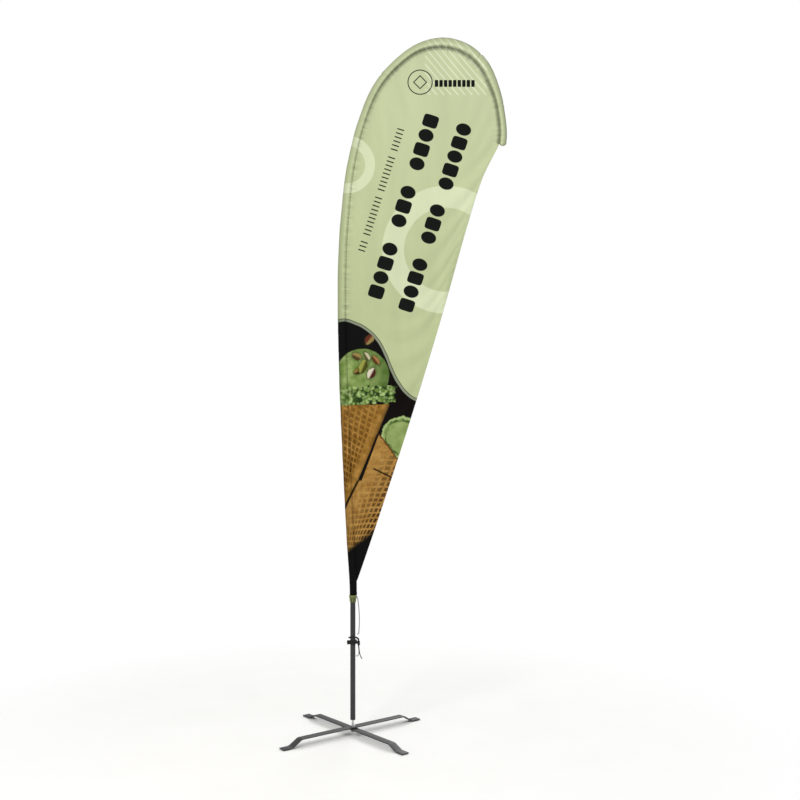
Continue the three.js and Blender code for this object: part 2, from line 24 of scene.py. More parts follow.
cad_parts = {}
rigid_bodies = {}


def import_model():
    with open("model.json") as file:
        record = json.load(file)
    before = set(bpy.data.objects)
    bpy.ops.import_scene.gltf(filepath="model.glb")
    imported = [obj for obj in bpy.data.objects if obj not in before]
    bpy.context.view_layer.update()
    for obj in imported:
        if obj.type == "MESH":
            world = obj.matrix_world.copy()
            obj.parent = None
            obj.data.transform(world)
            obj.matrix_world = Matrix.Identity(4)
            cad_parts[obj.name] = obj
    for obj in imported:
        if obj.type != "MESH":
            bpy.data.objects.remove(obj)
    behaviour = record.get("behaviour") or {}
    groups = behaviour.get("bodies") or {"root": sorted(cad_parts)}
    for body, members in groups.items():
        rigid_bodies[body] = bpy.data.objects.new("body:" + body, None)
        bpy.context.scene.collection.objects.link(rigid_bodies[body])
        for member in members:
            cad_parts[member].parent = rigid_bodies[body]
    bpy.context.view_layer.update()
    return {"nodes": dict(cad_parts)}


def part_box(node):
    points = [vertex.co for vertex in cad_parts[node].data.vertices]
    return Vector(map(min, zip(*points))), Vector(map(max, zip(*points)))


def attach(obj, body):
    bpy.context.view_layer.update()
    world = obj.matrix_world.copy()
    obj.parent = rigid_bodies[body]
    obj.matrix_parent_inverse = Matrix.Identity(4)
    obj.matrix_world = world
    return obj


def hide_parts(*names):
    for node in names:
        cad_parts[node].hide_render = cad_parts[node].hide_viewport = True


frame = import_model()
MM = 0.001

# %% [markdown]
# ## Small helpers
#
# A Blender operator works on whatever is selected, so every step begins by letting go of everything. A finished
# piece keeps its place in its mesh and its object sits at the origin, so that a pattern that reads object
# coordinates stays where it is put.


# %% Taking up, settling, editing and fitting a piece
def take_up(obj):
    """Makes obj the only selected object and the active one."""
    for each in bpy.context.view_layer.objects.selected[:]:
        each.select_set(False)
    if obj:
        obj.select_set(True)
        bpy.context.view_layer.objects.active = obj


def settle(obj, name):
    """Names the object and moves its place into its mesh."""
    take_up(obj)
    bpy.ops.object.transform_apply(location=True, rotation=True, scale=True)
    obj.name = obj.data.name = name
    return obj


@contextmanager
def editing(obj):
    """Edit mode, with the whole mesh selected."""
    take_up(obj)
    bpy.ops.object.mode_set(mode="EDIT")
    bpy.ops.mesh.select_all(action="SELECT")
    yield
    bpy.ops.object.mode_set(mode="OBJECT")


def pick_faces(test):
    """In edit mode, selects just the faces that pass a test."""
    mesh = bpy.context.object.data
    bm = bmesh.from_edit_mesh(mesh)
    chosen = [face for face in bm.faces if test(face)]
    bpy.ops.mesh.select_all(action="DESELECT")
    for face in chosen:
        face.select_set(True)
    bmesh.update_edit_mesh(mesh)


def face_outwards():
    """In edit mode, turns every face outwards."""
    bpy.ops.mesh.select_all(action="SELECT")
    bpy.ops.mesh.normals_make_consistent(inside=False)


def extrude(*step):
    bpy.ops.mesh.extrude_region_move(TRANSFORM_OT_translate={"value": step})


def modify(obj, kind, **settings):
    """Adds a modifier and applies it at once."""
    take_up(obj)
    modifier = obj.modifiers.new(kind.lower(), kind)
    for key, value in settings.items():
        setattr(modifier, key, value)
    bpy.ops.object.modifier_apply(modifier=modifier.name)


def soften(obj, width, angle):
    """Rounds the edges that are sharper than angle, and shades the rest smooth."""
    angle = math.radians(angle)
    modify(obj, "BEVEL", width=width, segments=2, limit_method="ANGLE", angle_limit=angle)
    bpy.ops.object.shade_smooth_by_angle(angle=angle)


def link(name, data):
    """A new object for a mesh, lamp or camera."""
    obj = bpy.data.objects.new(name, data)
    bpy.context.scene.collection.objects.link(obj)
    return obj


def coat(obj, material):
    obj.data.materials.clear()
    obj.data.materials.append(material)


def fit(obj, body, material, node):
    """The piece rides on a body, wears a material and stands for a CAD node."""
    coat(obj, material)
    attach(obj, body)
    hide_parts(node)
    return obj


# %% [markdown]
# ## The camera
#
# The view is level, from chest height and about five and a half metres away, a little to the right of the pole.
# A level camera keeps the flag's plane free of converging lines, so the pole stands straight in the picture.

# %% Place the camera
CAMERA_AWAY = 5.5
VIEW_WIDTH_AT_FLAG = 3.902
SENSOR = 36

camera_data = bpy.data.cameras.new("camera")
camera_data.sensor_width = SENSOR
camera_data.lens = SENSOR * CAMERA_AWAY / VIEW_WIDTH_AT_FLAG
camera = link("camera", camera_data)
camera.location = (0.230, -CAMERA_AWAY, 1.630)
camera.rotation_euler = (math.radians(90), 0, 0)
bpy.context.scene.camera = camera
print("lens:", round(camera_data.lens, 1), "mm")

# %% [markdown]
# ## Finishes
#
# Each material starts from what the real one is and how its surface was made. One small function adds a node with
# its settings and links, and one turns the sRGB hex of a colour chart into the linear numbers that a shader wants.
# Most finishes have the same plan: two tones mixed by a pattern, a roughness that varies by a cloud, and a relief.


# %% Material helpers
def linear(code):
    srgb = [int(code[k : k + 2], 16) / 255 for k in (1, 3, 5)]
    return [c / 12.92 if c <= 0.04045 else ((c + 0.055) / 1.055) ** 2.4 for c in srgb] + [1.0]


def add(tree, kind, *feeds, out=0, **settings):
    """Adds a node and returns one of its outputs. A kind in capitals is a Math operation, and Mix mixes colours.

    feeds go to the inputs in turn: a socket to link from, a number or vector, a hex colour, or None to leave an
    input as it is. A setting with a capital letter names an input, and the others are the node's own settings.
    """
    node = tree.nodes.new("ShaderNode" + ("Math" if kind.isupper() else kind))
    inputs = dict(enumerate(feeds))
    if kind.isupper():
        node.operation = kind
    if kind == "Mix":
        node.data_type, out = "RGBA", 2
        inputs = dict(zip((0, 6, 7), feeds))
    for key, value in settings.items():
        if key[0].isupper():
            inputs[key] = value
        else:
            setattr(node, key, value)
    for key, feed in inputs.items():
        if isinstance(feed, bpy.types.NodeSocket):
            tree.links.new(feed, node.inputs[key])
        elif feed is not None:
            node.inputs[key].default_value = linear(feed) if isinstance(feed, str) else feed
    return node.outputs[out]


def new_finish(name, space="Object", **sockets):
    """An empty material and its coordinates. What is the same all over is set on the shader's own sockets."""
    material = bpy.data.materials.new(name)
    material.use_nodes = True
    tree = material.node_tree
    shader = tree.nodes["Principled BSDF"]
    for socket, value in sockets.items():
        shader.inputs[socket.replace("_", " ")].default_value = value
    return material, tree, shader, add(tree, "TexCoord", out=space)


def wear(tree, shader, colour, roughness=None, height=None, depth=0.0, strength=1.0):
    """Links a colour, a roughness and a bump height in metres to the shader."""
    tree.links.new(colour, shader.inputs["Base Color"])
    if roughness:
        tree.links.new(roughness, shader.inputs["Roughness"])
    if height:
        normal = add(tree, "Bump", Height=height, Distance=depth, Strength=strength)
        tree.links.new(normal, shader.inputs["Normal"])


def two_tone(tree, shader, share, tones, cloud, roughness, height, depth):
    """Two tones mixed by share, a roughness that goes from low to high with cloud, and a relief."""
    rough = add(tree, "MapRange", cloud, 0.3, 0.7, *roughness)
    wear(tree, shader, add(tree, "Mix", share, *tones), rough, height, depth)


def folded(tree, value, per_unit):
    """Folds a measure back and forth: 0 at the edges of each cell and 0.5 in its middle."""
    return add(tree, "PINGPONG", add(tree, "MULTIPLY", value, per_unit), 0.5)


# %% [markdown]
# ## Lines and tubes
#
# A smooth line through a few chosen points is enough for the cords and for the bowed edge of the flag. The
# centripetal Catmull-Rom curve passes through every point and never loops, which a plain one can. A cord is then
# a ring of points carried along its line. Its UV map holds metres, round the cord and along it, so that a braid
# keeps its real size.


# %% A smooth line, and measures along it
def smooth_line(points, per_span):
    p = np.array(points, float)
    p = np.vstack([2 * p[0] - p[1], p, 2 * p[-1] - p[-2]])
    line = []
    for a, b, c, d in zip(p, p[1:], p[2:], p[3:]):
        before, here, after = (np.linalg.norm(v) ** 0.5 for v in (b - a, c - b, d - c))
        leave = ((b - a) / before - (c - a) / (before + here) + (c - b) / here) * here
        arrive = ((c - b) / here - (d - b) / (here + after) + (d - c) / after) * here
        for t in np.linspace(0, 1, per_span, endpoint=False):
            h = (2 * t**3 - 3 * t**2 + 1, t**3 - 2 * t**2 + t, 3 * t**2 - 2 * t**3, t**3 - t**2)
            line.append(h[0] * b + h[1] * leave + h[2] * c + h[3] * arrive)
    line.append(p[-2])
    return np.array(line)


def run_of(line):
    """The distance along the line at each of its points."""
    return np.concatenate([[0], np.cumsum(np.linalg.norm(np.diff(line, axis=0), axis=1))])


def on_line(line, at):
    """The points at given distances along a line."""
    run = run_of(line)
    return np.stack([np.interp(at, run, line[:, k]) for k in range(line.shape[1])], axis=-1)


def headings(line):
    """The direction of the line at each of its points."""
    ahead = np.gradient(line, axis=0)
    return ahead / np.linalg.norm(ahead, axis=1)[:, None]


# %% A mesh over rings, and a tube along a line
def skin(name, rings, spots):
    """A mesh over rings of points, each ending on its first point. spots holds each point's UV."""
    rings = np.asarray(rings, float)
    rows, columns = rings.shape[:2]
    corner = np.arange(rows * columns).reshape(rows, columns)
    quads = np.stack([corner[:-1, :-1], corner[:-1, 1:], corner[1:, 1:], corner[1:, :-1]], axis=-1).reshape(-1, 4)
    mesh = bpy.data.meshes.new(name)
    mesh.from_pydata(rings.reshape(-1, 3).tolist(), [], quads.tolist())
    flat = np.asarray(spots, float).reshape(-1, 2)[quads.reshape(-1)]
    mesh.uv_layers.new(name="cloth").data.foreach_set("uv", flat.reshape(-1))
    obj = link(name, mesh)
    with editing(obj):
        bpy.ops.mesh.remove_doubles(threshold=1e-6)
        bpy.ops.mesh.normals_make_consistent(inside=False)
    bpy.ops.object.shade_smooth()
    return obj


def close_ends(obj):
    """Fills the open ends of a tube."""
    with editing(obj):
        bpy.ops.mesh.select_all(action="DESELECT")
        bpy.ops.mesh.select_non_manifold()
        bpy.ops.mesh.fill_holes(sides=0)
        face_outwards()
    return obj


def square_to(line):
    """Two directions square to the line at each point, turned as little as possible from one to the next."""
    ahead = headings(line)
    start = np.array([0, 1, 0]) if abs(ahead[0][1]) < 0.9 else np.array([1, 0, 0])
    side = []
    for direction in ahead:
        start = start - direction * (start @ direction)
        start = start / np.linalg.norm(start)
        side.append(start)
    side = np.array(side)
    return side, np.cross(ahead, side)


def tube(name, line, radius, sides=14):
    """A round cord with round ends. radius is one number or one for each point of the line."""
    radii = np.broadcast_to(np.asarray(radius, float), len(line))
    heads = [h / np.linalg.norm(h) for h in (line[0] - line[1], line[-1] - line[-2])]
    turn = np.radians([88, 65, 40, 18])
    first = [line[0] + heads[0] * radii[0] * math.sin(a) for a in turn]
    last = [line[-1] + heads[1] * radii[-1] * math.sin(a) for a in turn[::-1]]
    line = np.vstack([first, line, last])
    radii = np.concatenate([radii[0] * np.cos(turn), radii, radii[-1] * np.cos(turn)[::-1]])
    side, other = square_to(line)
    angle = np.linspace(0, 2 * math.pi, sides + 1)
    spots = np.stack(np.broadcast_arrays(angle[None] * np.median(radii), run_of(line)[:, None]), axis=-1)
    angle[-1] = 0
    ring = np.cos(angle)[None, :, None] * side[:, None] + np.sin(angle)[None, :, None] * other[:, None]
    return close_ends(skin(name, line[:, None] + radii[:, None, None] * ring, spots))


# %% [markdown]
# ## Braided elastic
#
# A bungee cord is rubber inside a braided polyester sleeve. The braid is two families of yarn that cross on the
# slant, so the surface is a row of small diamonds. Two slanted waves give that height, the higher of them on top,
# and the same height darkens the hollows with painted shade. The real yarn is about 0.4 mm wide. It is drawn four
# times as coarse, so that it shows from where people stand.

# %% Braided elastic in two colours
BRAID_PITCH = 1.7 * MM
BRAID_SLANT = 35


def braided(name, hollow_shade, yarn, sheen):
    material, tree, shader, along = new_finish(name, "UV", Roughness=0.8, Sheen_Weight=sheen, Sheen_Roughness=0.5)
    heights = []
    for slant in (BRAID_SLANT, -BRAID_SLANT):
        slanted = add(tree, "Mapping", along, None, (0, 0, math.radians(slant)), (1 / BRAID_PITCH,) * 3)
        heights.append(add(tree, "PINGPONG", add(tree, "SeparateXYZ", slanted, out="X"), 0.5))
    yarns = add(tree, "MAXIMUM", *heights)
    raised = add(tree, "MapRange", yarns, 0.15, 0.5, 0.0, 1.0, interpolation_type="SMOOTHSTEP")
    speck = add(tree, "TexNoise", along, Scale=400.0, Detail=2.0)
    share = add(tree, "MULTIPLY_ADD", raised, speck, 0.25)
    # the hollows between the yarns take painted shade
    colour = add(tree, "Mix", share, hollow_shade, yarn, clamp_factor=True)
    wear(tree, shader, colour, height=raised, depth=0.5 * MM, strength=0.9)
    return material


grey_braid = braided("braided elastic, grey", "#5a5b5b", "#a9aaa9", 0.25)
black_braid = braided("braided elastic, black", "#020202", "#0e0e0f", 0.02)

# %% [markdown]
# ## The cords
#
# Three cords hang free on this flag. A grey one leaves the foot of the sleeve and ends in a small open hook. It
# pulls the flag down on the pole, and it hangs loose here. The other two leave the knot of the black tie: a short
# tail with a melted end, and a loop that comes back towards the pole. They come first because their length and
# their place are facts, and everything else has to leave room for them. Their routes are in millimetres.

# %% The grey cord and its hook
THICK_CORD, THIN_CORD = 4.4 * MM, 3 * MM
GREY_ROUTE = [
    (20.5, -2, 671), (23, -2.6, 665), (25, -3.2, 655), (26.6, -3.8, 643), (28, -4.2, 630),
    (29.4, -4.6, 616), (30.5, -4.9, 602), (31.3, -5.1, 588), (31.8, -5.2, 574), (32, -5.2, 560),
    (31.9, -5.2, 546), (31.5, -5.1, 533), (30.9, -5, 521), (30.2, -5, 511), (29.6, -5, 503),
]
HOOK_ROUTE = [
    (29.5, -5, 502.4), (29.3, -5, 497), (28.4, -5, 491.5), (25.6, -5, 488.2), (22.6, -5, 489.6), (21.6, -5, 493),
]


grey_line = on_line(smooth_line(GREY_ROUTE, 12) * MM, np.arange(0, 0.171, 0.0022))
flag_cord = tube("flag_cord_braid", grey_line, THICK_CORD / 2)

# %% [markdown]
# The hook is one moulded nylon piece. It starts as a collar that grips the cord, and bends round to an open point.

# %% Moulded nylon and the hook
grey_nylon, tree, shader, place = new_finish("moulded nylon, grey", Roughness=0.45, IOR=1.53, Subsurface_Weight=0.05)
cloudy = add(tree, "TexNoise", place, Scale=300.0, Detail=3.0)
two_tone(tree, shader, cloudy, ("#7d7e7e", "#9c9d9c"), cloudy, (0.38, 0.55), cloudy, 0.15 * MM)
hook_line = smooth_line(HOOK_ROUTE, 6) * MM
slim = np.interp(np.linspace(0, 1, len(hook_line)), [0, 0.1, 0.22, 0.3, 1], [2.9, 2.9, 2.7, 2.0, 1.3])
hook = tube("cord_hook_moulding", hook_line, slim * MM)

# %% Hang the grey cord
fit(flag_cord, "pole_and_flag", grey_braid, "flag_cord")
fit(hook, "pole_and_flag", grey_nylon, "cord_hook")

# %% The two ends of the black tie
TAIL_ROUTE = [
    (29.5, -5, 433), (29.9, -5.2, 427), (30.3, -5.4, 421), (30.8, -5.6, 415), (31.4, -5.8, 409),
    (32.2, -6, 403), (33.2, -6.2, 397.5), (34.5, -6.4, 392), (36, -6.6, 387), (37.8, -6.8, 382.5),
    (39.9, -7, 378), (42.2, -7.2, 374), (44.6, -7.4, 370.5),
]
LOOP_ROUTE = [
    (26.5, 1, 433), (27.2, 1, 426), (28, 0.9, 419), (28.8, 0.8, 412), (29.3, 0.6, 405), (29.3, 0.4, 398),
    (28.4, 0.2, 391.5), (26.6, 0, 386.5), (24, -0.2, 382.8), (21.2, -0.4, 381), (18.4, -0.6, 381.4), (16, -0.8, 384),
]
for name, route, per_span, diameter, far_end, node in (
    ("tie_tail_braid", TAIL_ROUTE, 4, THICK_CORD, "bare", "tie_tail"),
    ("tie_loop_braid", LOOP_ROUTE, 5, THIN_CORD, "object", "tie_loop"),
):
    line = smooth_line(route, per_span) * MM
    cord = fit(tube(name, line, diameter / 2), "tie", black_braid, node)

# %% [markdown]
# ## Powder-coated steel bars
#
# The base is two hot-rolled flat bars, 40 by 5 mm, cut, punched, pressed into feet and powder coated. Powder melts
# into a fine orange peel: a satin skin with shallow bumps one or two millimetres wide. Feet that slide on paving
# lose a little of it along their edges, where the grey primer shows through.

# %% Powder coat
powder_coat, tree, shader, place = new_finish("powder-coated steel, graphite", IOR=1.5)
peel = add(tree, "TexNoise", place, Scale=420.0, Detail=2.0)
cloud = add(tree, "TexNoise", place, Scale=14.0, Detail=5.0, Roughness=0.65)
edge = add(tree, "NewGeometry", out="Pointiness")
worn = add(tree, "MapRange", edge, 0.52, 0.6, 0.0, 1.0)
patchy = add(tree, "MapRange", cloud, 0.5, 0.68, 0.0, 0.75)
bare = add(tree, "MULTIPLY", worn, patchy)
paint = add(tree, "Mix", cloud, "#2a2b2c", "#363738")
two_tone(tree, shader, bare, (paint, "#626466"), cloud, (0.42, 0.6), peel, 0.12 * MM)

# %% [markdown]
# ## The two bars
#
# One arm is drawn from the stud outwards: a short box whose end face is extruded along the side view of the bar
# and turned a few degrees at every step of each bend. That is how a press bends flat bar, and it keeps the wall
# equally thick. The arm is mirrored, the stud's hole is cut with a boolean, because it has to pass cleanly through
# the seam of the mirror, and every sharp edge is softened.


# %% Drawing a face out along a path
def draw_out(path, heading=0.0):
    """Extrudes what is selected along (x, z) points, and keeps it square to them."""
    path = [Vector((x, 0, z)) for x, z in path]
    for k, point in enumerate(path[1:], 1):
        extrude(*(point - path[k - 1]))
        ahead = path[min(k + 1, len(path) - 1)] - path[k - 1]
        slope = math.atan2(ahead.z, ahead.x)
        # With no window, a positive turn about Y lifts what points along +X.
        bpy.ops.transform.rotate(value=slope - heading, orient_axis="Y", center_override=point)
        heading = slope


BAR_WIDTH, BAR_THICK = 40 * MM, 5 * MM
STRAIGHT_TO, LEG_AT, FOOT_AT, END_AT, HALF_BEND = 60, 308, 358, 410, 7
FOOT_Z = 5.5


def arm_path(hub_z):
    """The side view of one arm: flat, down a slope, and flat on the foot, in metres."""
    slope = (FOOT_Z - hub_z) / (FOOT_AT - LEG_AT)
    path = [(STRAIGHT_TO, hub_z)]
    for at, z, before, after in ((LEG_AT, hub_z, 0, slope), (FOOT_AT, FOOT_Z, slope, 0)):
        start = (at - HALF_BEND, z - before * HALF_BEND)
        end = (at + HALF_BEND, z + after * HALF_BEND)
        for t in np.linspace(0, 1, 7):
            weights = ((1 - t) ** 2, 2 * t * (1 - t), t**2)
            path.append([sum(w * p[k] for w, p in zip(weights, (start, (at, z), end))) for k in (0, 1)])
    path.append((END_AT, FOOT_Z))
    return [(x * MM, z * MM) for x, z in path]


# %% Make both bars
def flat_bar(name, hub_z, turn):
    path = arm_path(hub_z)
    bpy.ops.mesh.primitive_cube_add(size=1, location=(path[0][0] / 2, 0, path[0][1]))
    bar = bpy.context.object
    bar.scale = (path[0][0], BAR_WIDTH, BAR_THICK)
    settle(bar, name)
    with editing(bar):
        pick_faces(lambda face: face.normal.x > 0.9)
        draw_out(path)
        pick_faces(lambda face: face.calc_center_median().x < 1e-6)
        bpy.ops.mesh.delete(type="FACE")
    modify(bar, "MIRROR", use_axis=(True, False, False), use_clip=True, merge_threshold=1e-5)

    take_up(None)
    bpy.ops.mesh.primitive_cylinder_add(vertices=48, radius=5.5 * MM, depth=30 * MM, location=(0, 0, hub_z * MM))
    drill = bpy.context.object
    modify(bar, "BOOLEAN", object=drill, operation="DIFFERENCE")
    bpy.data.objects.remove(drill)
    soften(bar, 0.7 * MM, 50)
    bar.rotation_euler.z = math.radians(turn)
    return settle(bar, name)


LOWER_TURN, UPPER_TURN = -51.5, 38.5
for name, hub_z, turn, body, node in (
    ("lower_flat_bar", 27.5, LOWER_TURN, "base", "lower_bar"),
    ("upper_flat_bar", 36.1, UPPER_TURN, "folding_bar", "upper_bar"),
):
    bar = fit(flat_bar(name, hub_z, turn), body, powder_coat, node)
    print(name, len(bar.data.polygons), "faces")

# %% [markdown]
# ## Rubber feet
#
# A moulded rubber pad is glued under each foot, so that the steel doesn't scratch the floor. The pad is a thin
# block with softened edges, and its sole has a groove all round for grip. Moulded rubber is nearly
# black and very matte, and it collects pale dust.

# %% Rubber
rubber, tree, shader, place = new_finish("moulded rubber, black", IOR=1.52, Sheen_Weight=0.1)
grain = add(tree, "TexNoise", place, Scale=900.0, Detail=3.0)
dust = add(tree, "TexNoise", place, Scale=35.0, Detail=6.0, Roughness=0.7)
dusty = add(tree, "MapRange", dust, 0.45, 0.75, 0.0, 0.5)
two_tone(tree, shader, dusty, ("#131314", "#4a4946"), dust, (0.72, 0.92), grain, 0.2 * MM)

# %% Make the four feet
PAD_AT, PAD_LONG, PAD_WIDE, GROOVE = 386 * MM, 38 * MM, 34 * MM, 0.8 * MM


def rubber_foot(name, node, turn, side):
    low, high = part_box(node)
    tall = high[2] - low[2]
    take_up(None)
    bpy.ops.mesh.primitive_cube_add(size=1, location=(side * PAD_AT, 0, tall / 2))
    pad = bpy.context.object
    pad.scale = (PAD_LONG, PAD_WIDE, tall)
    settle(pad, name)
    with editing(pad):
        pick_faces(lambda face: face.normal.z < -0.9)
        for inset, rise in ((2.5 * MM, GROOVE), (3 * MM, -GROOVE)):
            bpy.ops.mesh.inset(thickness=inset)
            extrude(0, 0, rise)
    soften(pad, 0.3 * MM, 50)
    pad.rotation_euler.z = math.radians(turn)
    return settle(pad, name)


for corner, body, turn, side in (
    ("front_right", "base", LOWER_TURN, 1),
    ("back_left", "base", LOWER_TURN, -1),
    ("back_right", "folding_bar", UPPER_TURN, 1),
    ("front_left", "folding_bar", UPPER_TURN, -1),
):
    node = f"foot_pad_{corner}"
    fit(rubber_foot(f"rubber_foot_{corner}", node, turn, side), body, rubber, node)
print("four feet made")

# %% [markdown]
# ## The spindle
#
# The spindle is one turned steel part: a threaded stud under the bars, a flange that clamps them, a thin neck, a
# shoulder for the bearing and a long pin that the pole turns on. A lathe makes it from the end upwards, and so do
# we: a disc is extruded ring by ring and each new ring is resized to the next diameter. Bright nickel plating
# makes it nearly a mirror, with hairline scratches round it from use.


# %% Turning a piece from its profile
def turned(name, profile, bore=None):
    """Extrudes a circle up a profile of (radius, z) in mm. A bore makes it a ring."""
    take_up(None)
    radius, height = profile[0][0] * MM, profile[0][1] * MM
    bpy.ops.mesh.primitive_circle_add(vertices=64, radius=radius, location=(0, 0, height), fill_type="NOTHING")
    piece = settle(bpy.context.object, name)
    way = list(profile[1:])
    if bore:
        way += [(bore, profile[-1][1]), (bore, profile[0][1]), profile[0]]
    with editing(piece):
        if not bore:
            bpy.ops.mesh.edge_face_add()
            bpy.ops.mesh.select_all(action="SELECT")
        for next_radius, z in way:
            rise = z * MM - height
            extrude(0, 0, rise)
            height += rise
            grow = next_radius * MM / radius
            bpy.ops.transform.resize(value=(grow, grow, 1), center_override=(0, 0, height))
            radius = next_radius * MM
        bpy.ops.mesh.select_all(action="SELECT")
        bpy.ops.mesh.remove_doubles(threshold=1e-6)
        face_outwards()
    bpy.ops.object.shade_smooth_by_angle(angle=math.radians(35))
    return piece


# %% Bright plating, and the spindle
plating, tree, shader, place = new_finish("bright nickel plating", Metallic=1.0)
height = add(tree, "SeparateXYZ", place, out="Z")
turning = add(tree, "TexNoise", W=height, Scale=2500.0, Detail=3.0, noise_dimensions="1D")
smear = add(tree, "TexNoise", place, Scale=60.0, Detail=5.0)
two_tone(tree, shader, smear, ("#b9babc", "#e6e7e9"), smear, (0.12, 0.3), turning, 0.03 * MM)

STUD_FOOT, THREAD_PITCH = 11, 1.5
thread = []
for k in range(8):
    foot = STUD_FOOT + THREAD_PITCH * k
    thread += [(4.5, foot), (5.0, foot + THREAD_PITCH / 2)]
spindle = turned(
    "turned_spindle",
    [
        (3.6, 10), *thread, (5, 23.5), (5, 38.9), (12.4, 38.9), (13, 39.5), (13, 42), (12, 42.9), (5.9, 42.9),
        (5.5, 43.4), (5.5, 69.4), (6.2, 70), (8.2, 70), (8.5, 70.3), (8.5, 75.7), (6, 75.7), (6, 194), (4, 196),
    ],
)
fit(spindle, "base", plating, "spindle_pin")
print("spindle:", len(spindle.data.polygons), "faces")

# %% [markdown]
# ## Lock nut
#
# An M10 lock nut holds the bars together and still lets one of them turn. It starts as a six-sided prism. A nut
# has its corners turned off in a cone at both ends, which a bisect at each corner would do one at a time, so the
# nut is cut by a wide turned ring instead: what lies in both is the nut, with its corners off and its bore open.

# %% Zinc plating, and the nut
zinc, tree, shader, place = new_finish("zinc-plated steel", Metallic=1.0)
spangle = add(tree, "TexVoronoi", place, Scale=320.0, out="Color")
shine = add(tree, "SeparateXYZ", spangle, out="X")
haze = add(tree, "TexNoise", place, Scale=90.0, Detail=4.0)
two_tone(tree, shader, shine, ("#9a9ea3", "#b9bbbd"), haze, (0.32, 0.5), haze, 0.05 * MM)

take_up(None)
NUT_ACROSS_FLATS, NUT_MIDDLE = 17 * MM, (0, 0, 17.4 * MM)
bpy.ops.mesh.primitive_cylinder_add(
    vertices=6, radius=NUT_ACROSS_FLATS / math.sqrt(3), depth=10 * MM, location=NUT_MIDDLE
)
nut = settle(bpy.context.object, "hex_lock_nut")
blank = turned("nut_blank", [(8.2, 12.4), (9.9, 13.4), (9.9, 21.4), (8.2, 22.4)], bore=5.3)
modify(nut, "BOOLEAN", object=blank, operation="INTERSECT")
bpy.data.objects.remove(blank)
soften(nut, 0.2 * MM, 30)
fit(nut, "base", zinc, "lock_nut")
print("nut:", len(nut.data.polygons), "faces")

# %% [markdown]
# ## Nylon and the small hidden pieces
#
# The spacer, the washer, the bearing, the barrel inside the pole and the upper pole sections keep the shape that
# the mechanical model gives them. They only need their real finish: turned nylon with fine rings, zinc plating,
# and pultruded fibreglass with its long fibres.

# %% Nylon and fibreglass
nylon, tree, shader, place = new_finish("turned nylon, black", IOR=1.53)
height = add(tree, "SeparateXYZ", place, out="Z")
rings = add(tree, "TexNoise", W=height, Scale=1800.0, Detail=2.0, noise_dimensions="1D")
cloud = add(tree, "TexNoise", place, Scale=80.0, Detail=4.0)
two_tone(tree, shader, cloud, ("#0d0d0e", "#1f1f20"), cloud, (0.4, 0.55), rings, 0.08 * MM)

fibreglass, tree, shader, place = new_finish("pultruded fibreglass, black", IOR=1.55)
drawn = add(tree, "Mapping", place, None, None, (900, 900, 12))
fibres = add(tree, "TexNoise", drawn, Scale=1.0, Detail=3.0)
two_tone(tree, shader, fibres, ("#0e0e10", "#2c2d30"), fibres, (0.35, 0.5), fibres, 0.1 * MM)

# %% [markdown]
# ## The pole
#
# The lower section is a 25 mm aluminium tube with a 1.5 mm wall, brushed and then anodised dark grey. Anodising
# keeps the brush lines, so the tube has fine streaks along its length and a soft stripe of light down its middle.
# Lifting it in and out of its bag leaves a few pale hairlines. The tube is a ring extruded along the line of the
# sleeve's edge, and its wall is a Solidify that grows inwards.

# %% Anodised tube
anodised, tree, shader, place = new_finish("anodised aluminium tube, dark grey", Metallic=0.55, IOR=1.5)
brushed_along = add(tree, "Mapping", place, None, None, (1500, 1500, 6))
streaks = add(tree, "TexNoise", brushed_along, Scale=1.0, Detail=3.0)
cloud = add(tree, "TexNoise", place, Scale=9.0, Detail=5.0)
scratch_map = add(tree, "Mapping", place, None, (0.2, 0.1, 0), (260, 260, 9))
scratch = add(tree, "TexNoise", scratch_map, Scale=1.0, Detail=1.0)
hairline = add(tree, "MapRange", scratch, 0.74, 0.78, 0.0, 0.5)
metal = add(tree, "Mix", cloud, "#333434", "#414242")
two_tone(tree, shader, hairline, (metal, "#7d7f80"), streaks, (0.36, 0.5), streaks, 0.05 * MM)

for finish, nodes in (
    (nylon, ("bar_spacer", "rotator_barrel", "pole_plug", "stop_ring_lower", "stop_ring_upper")),
    (zinc, ("lower_washer", "thrust_bearing", "retaining_ring", "whip_ferrule")),
    (rubber, ("tip_cap",)),
    (fibreglass, ("pole_third", "pole_whip")),
    (anodised, ("pole_second",)),
):
    for node in nodes:
        coat(frame["nodes"][node], finish)

# %% [markdown]
# ## The line that the flag hangs on
#
# The outer edge of the sleeve is the one line that shapes the flag. It stands straight on the pole at first, leans
# back under the pull of the cloth, and then goes over the top in a tight bow and down the other side. Everything
# on the flag is placed by a distance along this line and a distance inwards from it, in millimetres.

# %% The outer edge of the sleeve
POLE_FOOT = 72
outer_edge = smooth_line(
    [
        (-15.6, POLE_FOOT), (-15.6, 300), (-15.6, 520), (-15.6, 610), (-15.6, 690), (-16.4, 745), (-19.8, 805),
        (-26.5, 890), (-37.5, 1090), (-47.5, 1290), (-62, 1610), (-72, 1940), (-74, 2130), (-70, 2350),
        (-57, 2540), (-33, 2745), (21.5, 2977.6), (106.8, 3176), (223.4, 3306), (330, 3374), (442.4, 3398.5),
        (540, 3377), (612, 3331), (668.3, 3265), (722, 3130), (744, 3015), (751.5, 2936), (747, 2868),
    ],
    40,
)
edge_run = run_of(outer_edge)
edge_ahead = headings(outer_edge)
EDGE_LENGTH = edge_run[-1]


def from_edge(along, inward):
    """(x, z) in mm at a distance along the edge and a distance inwards from it."""
    along, inward = np.broadcast_arrays(np.asarray(along, float), np.asarray(inward, float))
    x, z = (np.interp(along, edge_run, outer_edge[:, k]) for k in (0, 1))
    tx, tz = (np.interp(along, edge_run, edge_ahead[:, k]) for k in (0, 1))
    return np.stack([x + tz * inward, z - tx * inward], axis=-1)


